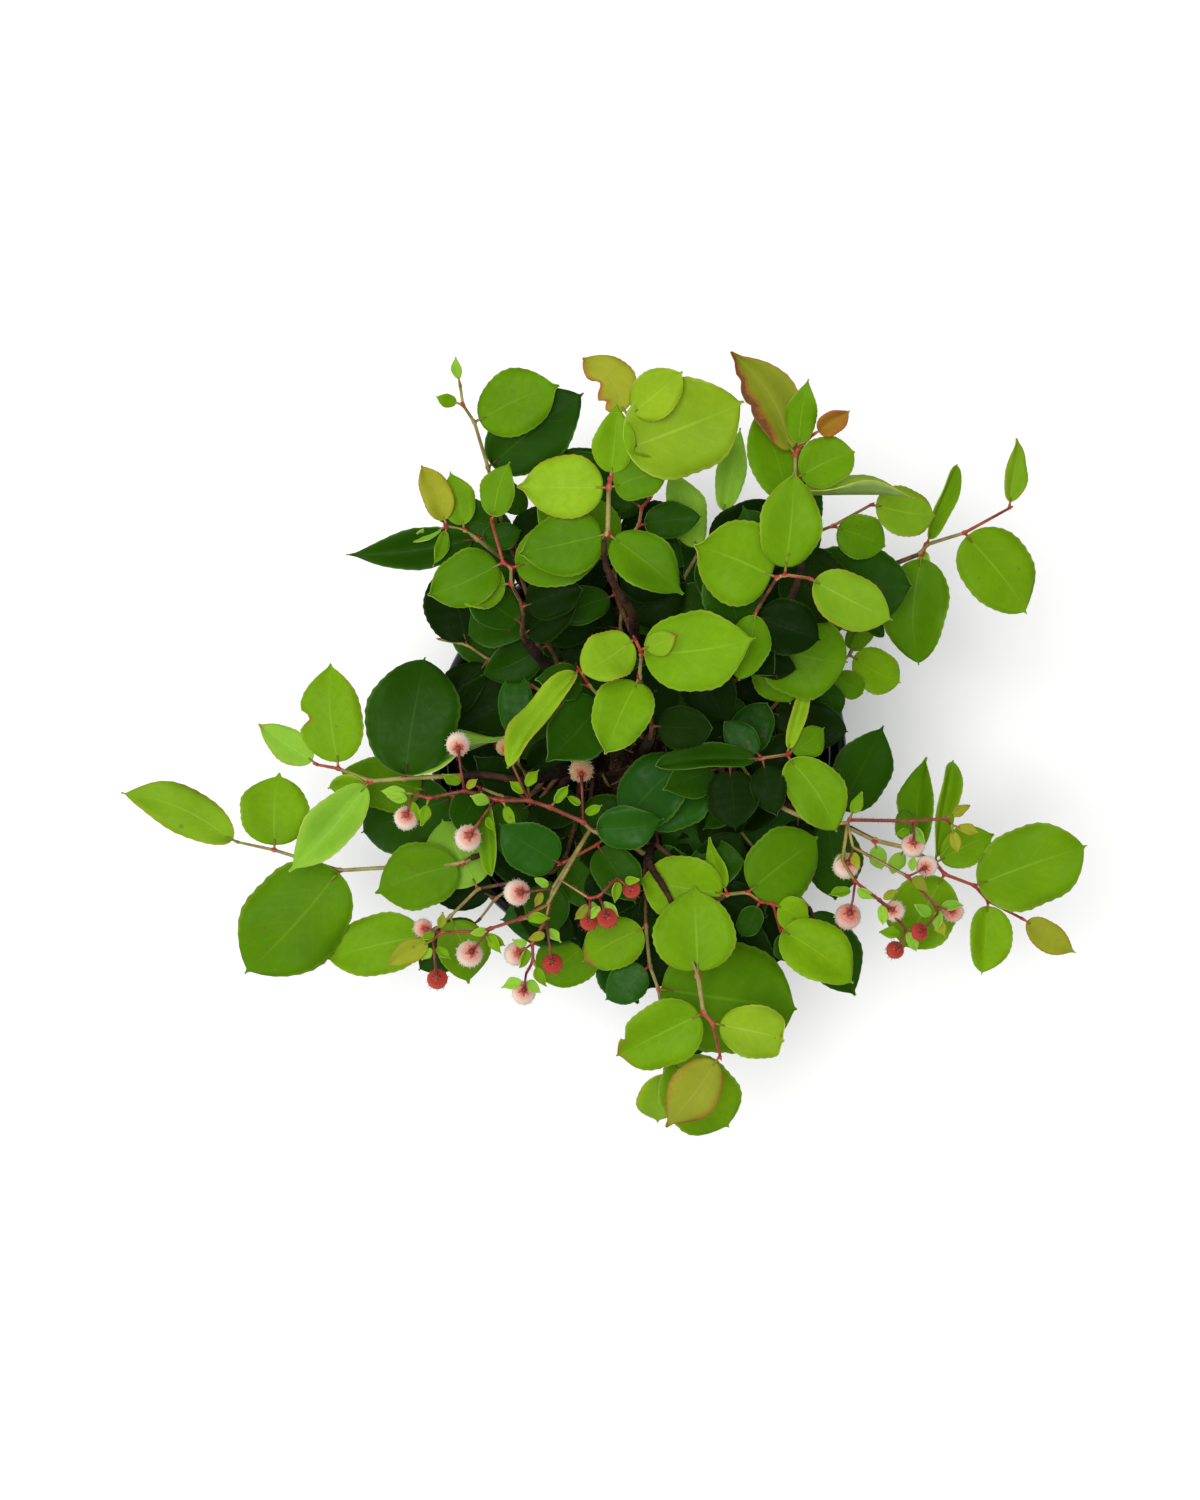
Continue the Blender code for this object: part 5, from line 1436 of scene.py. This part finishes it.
def makeSoil():
    # the plug under the chips, with a lumpy top
    low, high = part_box("soil")
    lowRadius = pot["foot"] - pot["wall"] - 0.8 * mm
    topRadius = high.x - 0.2 * mm
    bm = bmesh.new()
    profile = [(0, low.z), (lowRadius, low.z), (topRadius, high.z - 1 * mm)]
    profile += [(topRadius * (1 - step / 24), high.z - 1 * mm) for step in range(1, 25)]
    line = [bm.verts.new((radius, 0, height)) for radius, height in profile]
    edges = [bm.edges.new(pair) for pair in zip(line, line[1:])]
    bmesh.ops.spin(bm, geom=line + edges, cent=(0, 0, 0), axis=(0, 0, 1), angle=math.tau, steps=90,
                   use_merge=True, use_duplicate=False)
    bmesh.ops.remove_doubles(bm, verts=bm.verts, dist=0.00001)
    bmesh.ops.recalc_face_normals(bm, faces=bm.faces)
    for vert in bm.verts:
        if vert.co.z > high.z - 2 * mm and math.hypot(vert.co.x, vert.co.y) < topRadius - 1 * mm:
            vert.co.z += 1.6 * mm * noise.fractal(vert.co * 130, 1.0, 2.0, 4)
    finishPiece("soilPlug", bm, [chipDark], ["soil"])

    rng = random.Random("bark")
    bm = bmesh.new()
    for index in range(soil["chips"]):
        reach = (topRadius - 4 * mm) * math.sqrt(rng.random())
        angle = rng.uniform(0, math.tau)
        long = rng.uniform(*soil["chipSize"])
        made = bmesh.ops.create_cube(bm, size=1)["verts"]
        size = Matrix.Diagonal((long, long * rng.uniform(0.35, 0.8), long * rng.uniform(0.12, 0.4), 1))
        tilt = (Matrix.Rotation(rng.uniform(0, math.tau), 4, "Z") @ Matrix.Rotation(rng.gauss(0, 0.35), 4, "X")
                @ Matrix.Rotation(rng.gauss(0, 0.35), 4, "Y"))
        place = Matrix.Translation((reach * math.cos(angle), reach * math.sin(angle),
                                    high.z + rng.uniform(-0.8, 1.6) * mm))
        bmesh.ops.transform(bm, matrix=place @ tilt @ size, verts=made)
        kind = 0 if rng.random() < 0.62 else 1
        for vert in made:
            vert.co += Vector((rng.uniform(-1, 1), rng.uniform(-1, 1), rng.uniform(-1, 1))) * long * 0.12
        for face in {face for vert in made for face in vert.link_faces}:
            face.material_index = kind
    for index in range(soil["straws"]):
        reach = (topRadius - 14 * mm) * math.sqrt(rng.random())
        angle = rng.uniform(0, math.tau)
        way = rng.uniform(0, math.tau)
        half = rng.uniform(*soil["strawLength"]) / 2
        centre = Vector((reach * math.cos(angle), reach * math.sin(angle), high.z + rng.uniform(1.2, 2.6) * mm))
        run = Vector((math.cos(way), math.sin(way), rng.uniform(-0.1, 0.1))) * half
        side = Vector((-run.y, run.x, 0)).normalized() * rng.uniform(-1, 1) * half * 0.2
        before = set(bm.faces)
        tube([centre - run, centre + side, centre + run], [0.3 * mm, 0.45 * mm, 0.25 * mm], 4, bm=bm)
        for face in set(bm.faces) - before:
            face.material_index = 2
    bmesh.ops.recalc_face_normals(bm, faces=bm.faces)
    finishPiece("barkChips", bm, [chipDark, chipBrown, strawInShade], ["soil"], smooth=False)


makeSoil()


# Floor, light and camera

view = {
    "pixelAtRim": 0.396 * mm,
    "imageHeight": 1500,
    "aboveRim": 1.1,
    "axis": (-15.4 * mm, 1.6 * mm),
}


def makeStage():
    bm = bmesh.new()
    bmesh.ops.create_grid(bm, x_segments=1, y_segments=1, size=3)
    mesh = bpy.data.meshes.new("floor")
    bm.to_mesh(mesh)
    bm.free()
    floor = bpy.data.objects.new("floor", mesh)
    floor.location.z = -0.0005
    bpy.context.scene.collection.objects.link(floor)
    made, tree, shader = newMaterial("floorPale", **{"Base Color": (0.97, 0.97, 0.965, 1), "Roughness": 0.9})
    mesh.materials.append(made)

    world = bpy.data.worlds.new("softSky")
    world.use_nodes = True
    world.node_tree.nodes["Background"].inputs["Color"].default_value = (0.97, 0.985, 1.0, 1)
    world.node_tree.nodes["Background"].inputs["Strength"].default_value = 0.56
    bpy.context.scene.world = world

    def areaLight(name, place, aim, size, power, colour):
        data = bpy.data.lights.new(name, "AREA")
        data.shape = "DISK"
        data.size = size
        data.energy = power
        data.color = colour
        light = bpy.data.objects.new(name, data)
        light.location = place
        light.rotation_euler = (Vector(aim) - Vector(place)).to_track_quat("-Z", "Y").to_euler()
        bpy.context.scene.collection.objects.link(light)

    areaLight("softKey", (-0.25, 0.05, 2.4), (0, 0, 0.2), 1.1, 40, (1.0, 0.99, 0.97))
    areaLight("softSide", (-1.7, -0.1, 1.1), (0, 0, 0.2), 1.0, 10, (1.0, 1.0, 1.0))

    data = bpy.data.cameras.new("camera")
    camera = bpy.data.objects.new("camera", data)
    camera.location = (*view["axis"], pot["height"] + view["aboveRim"])
    data.sensor_width = 36
    data.lens = data.sensor_width / (view["imageHeight"] * view["pixelAtRim"]) * view["aboveRim"]
    data.clip_start = 0.05
    data.clip_end = 20
    bpy.context.scene.collection.objects.link(camera)
    bpy.context.scene.camera = camera
    bpy.context.scene.view_settings.view_transform = "Standard"


makeStage()
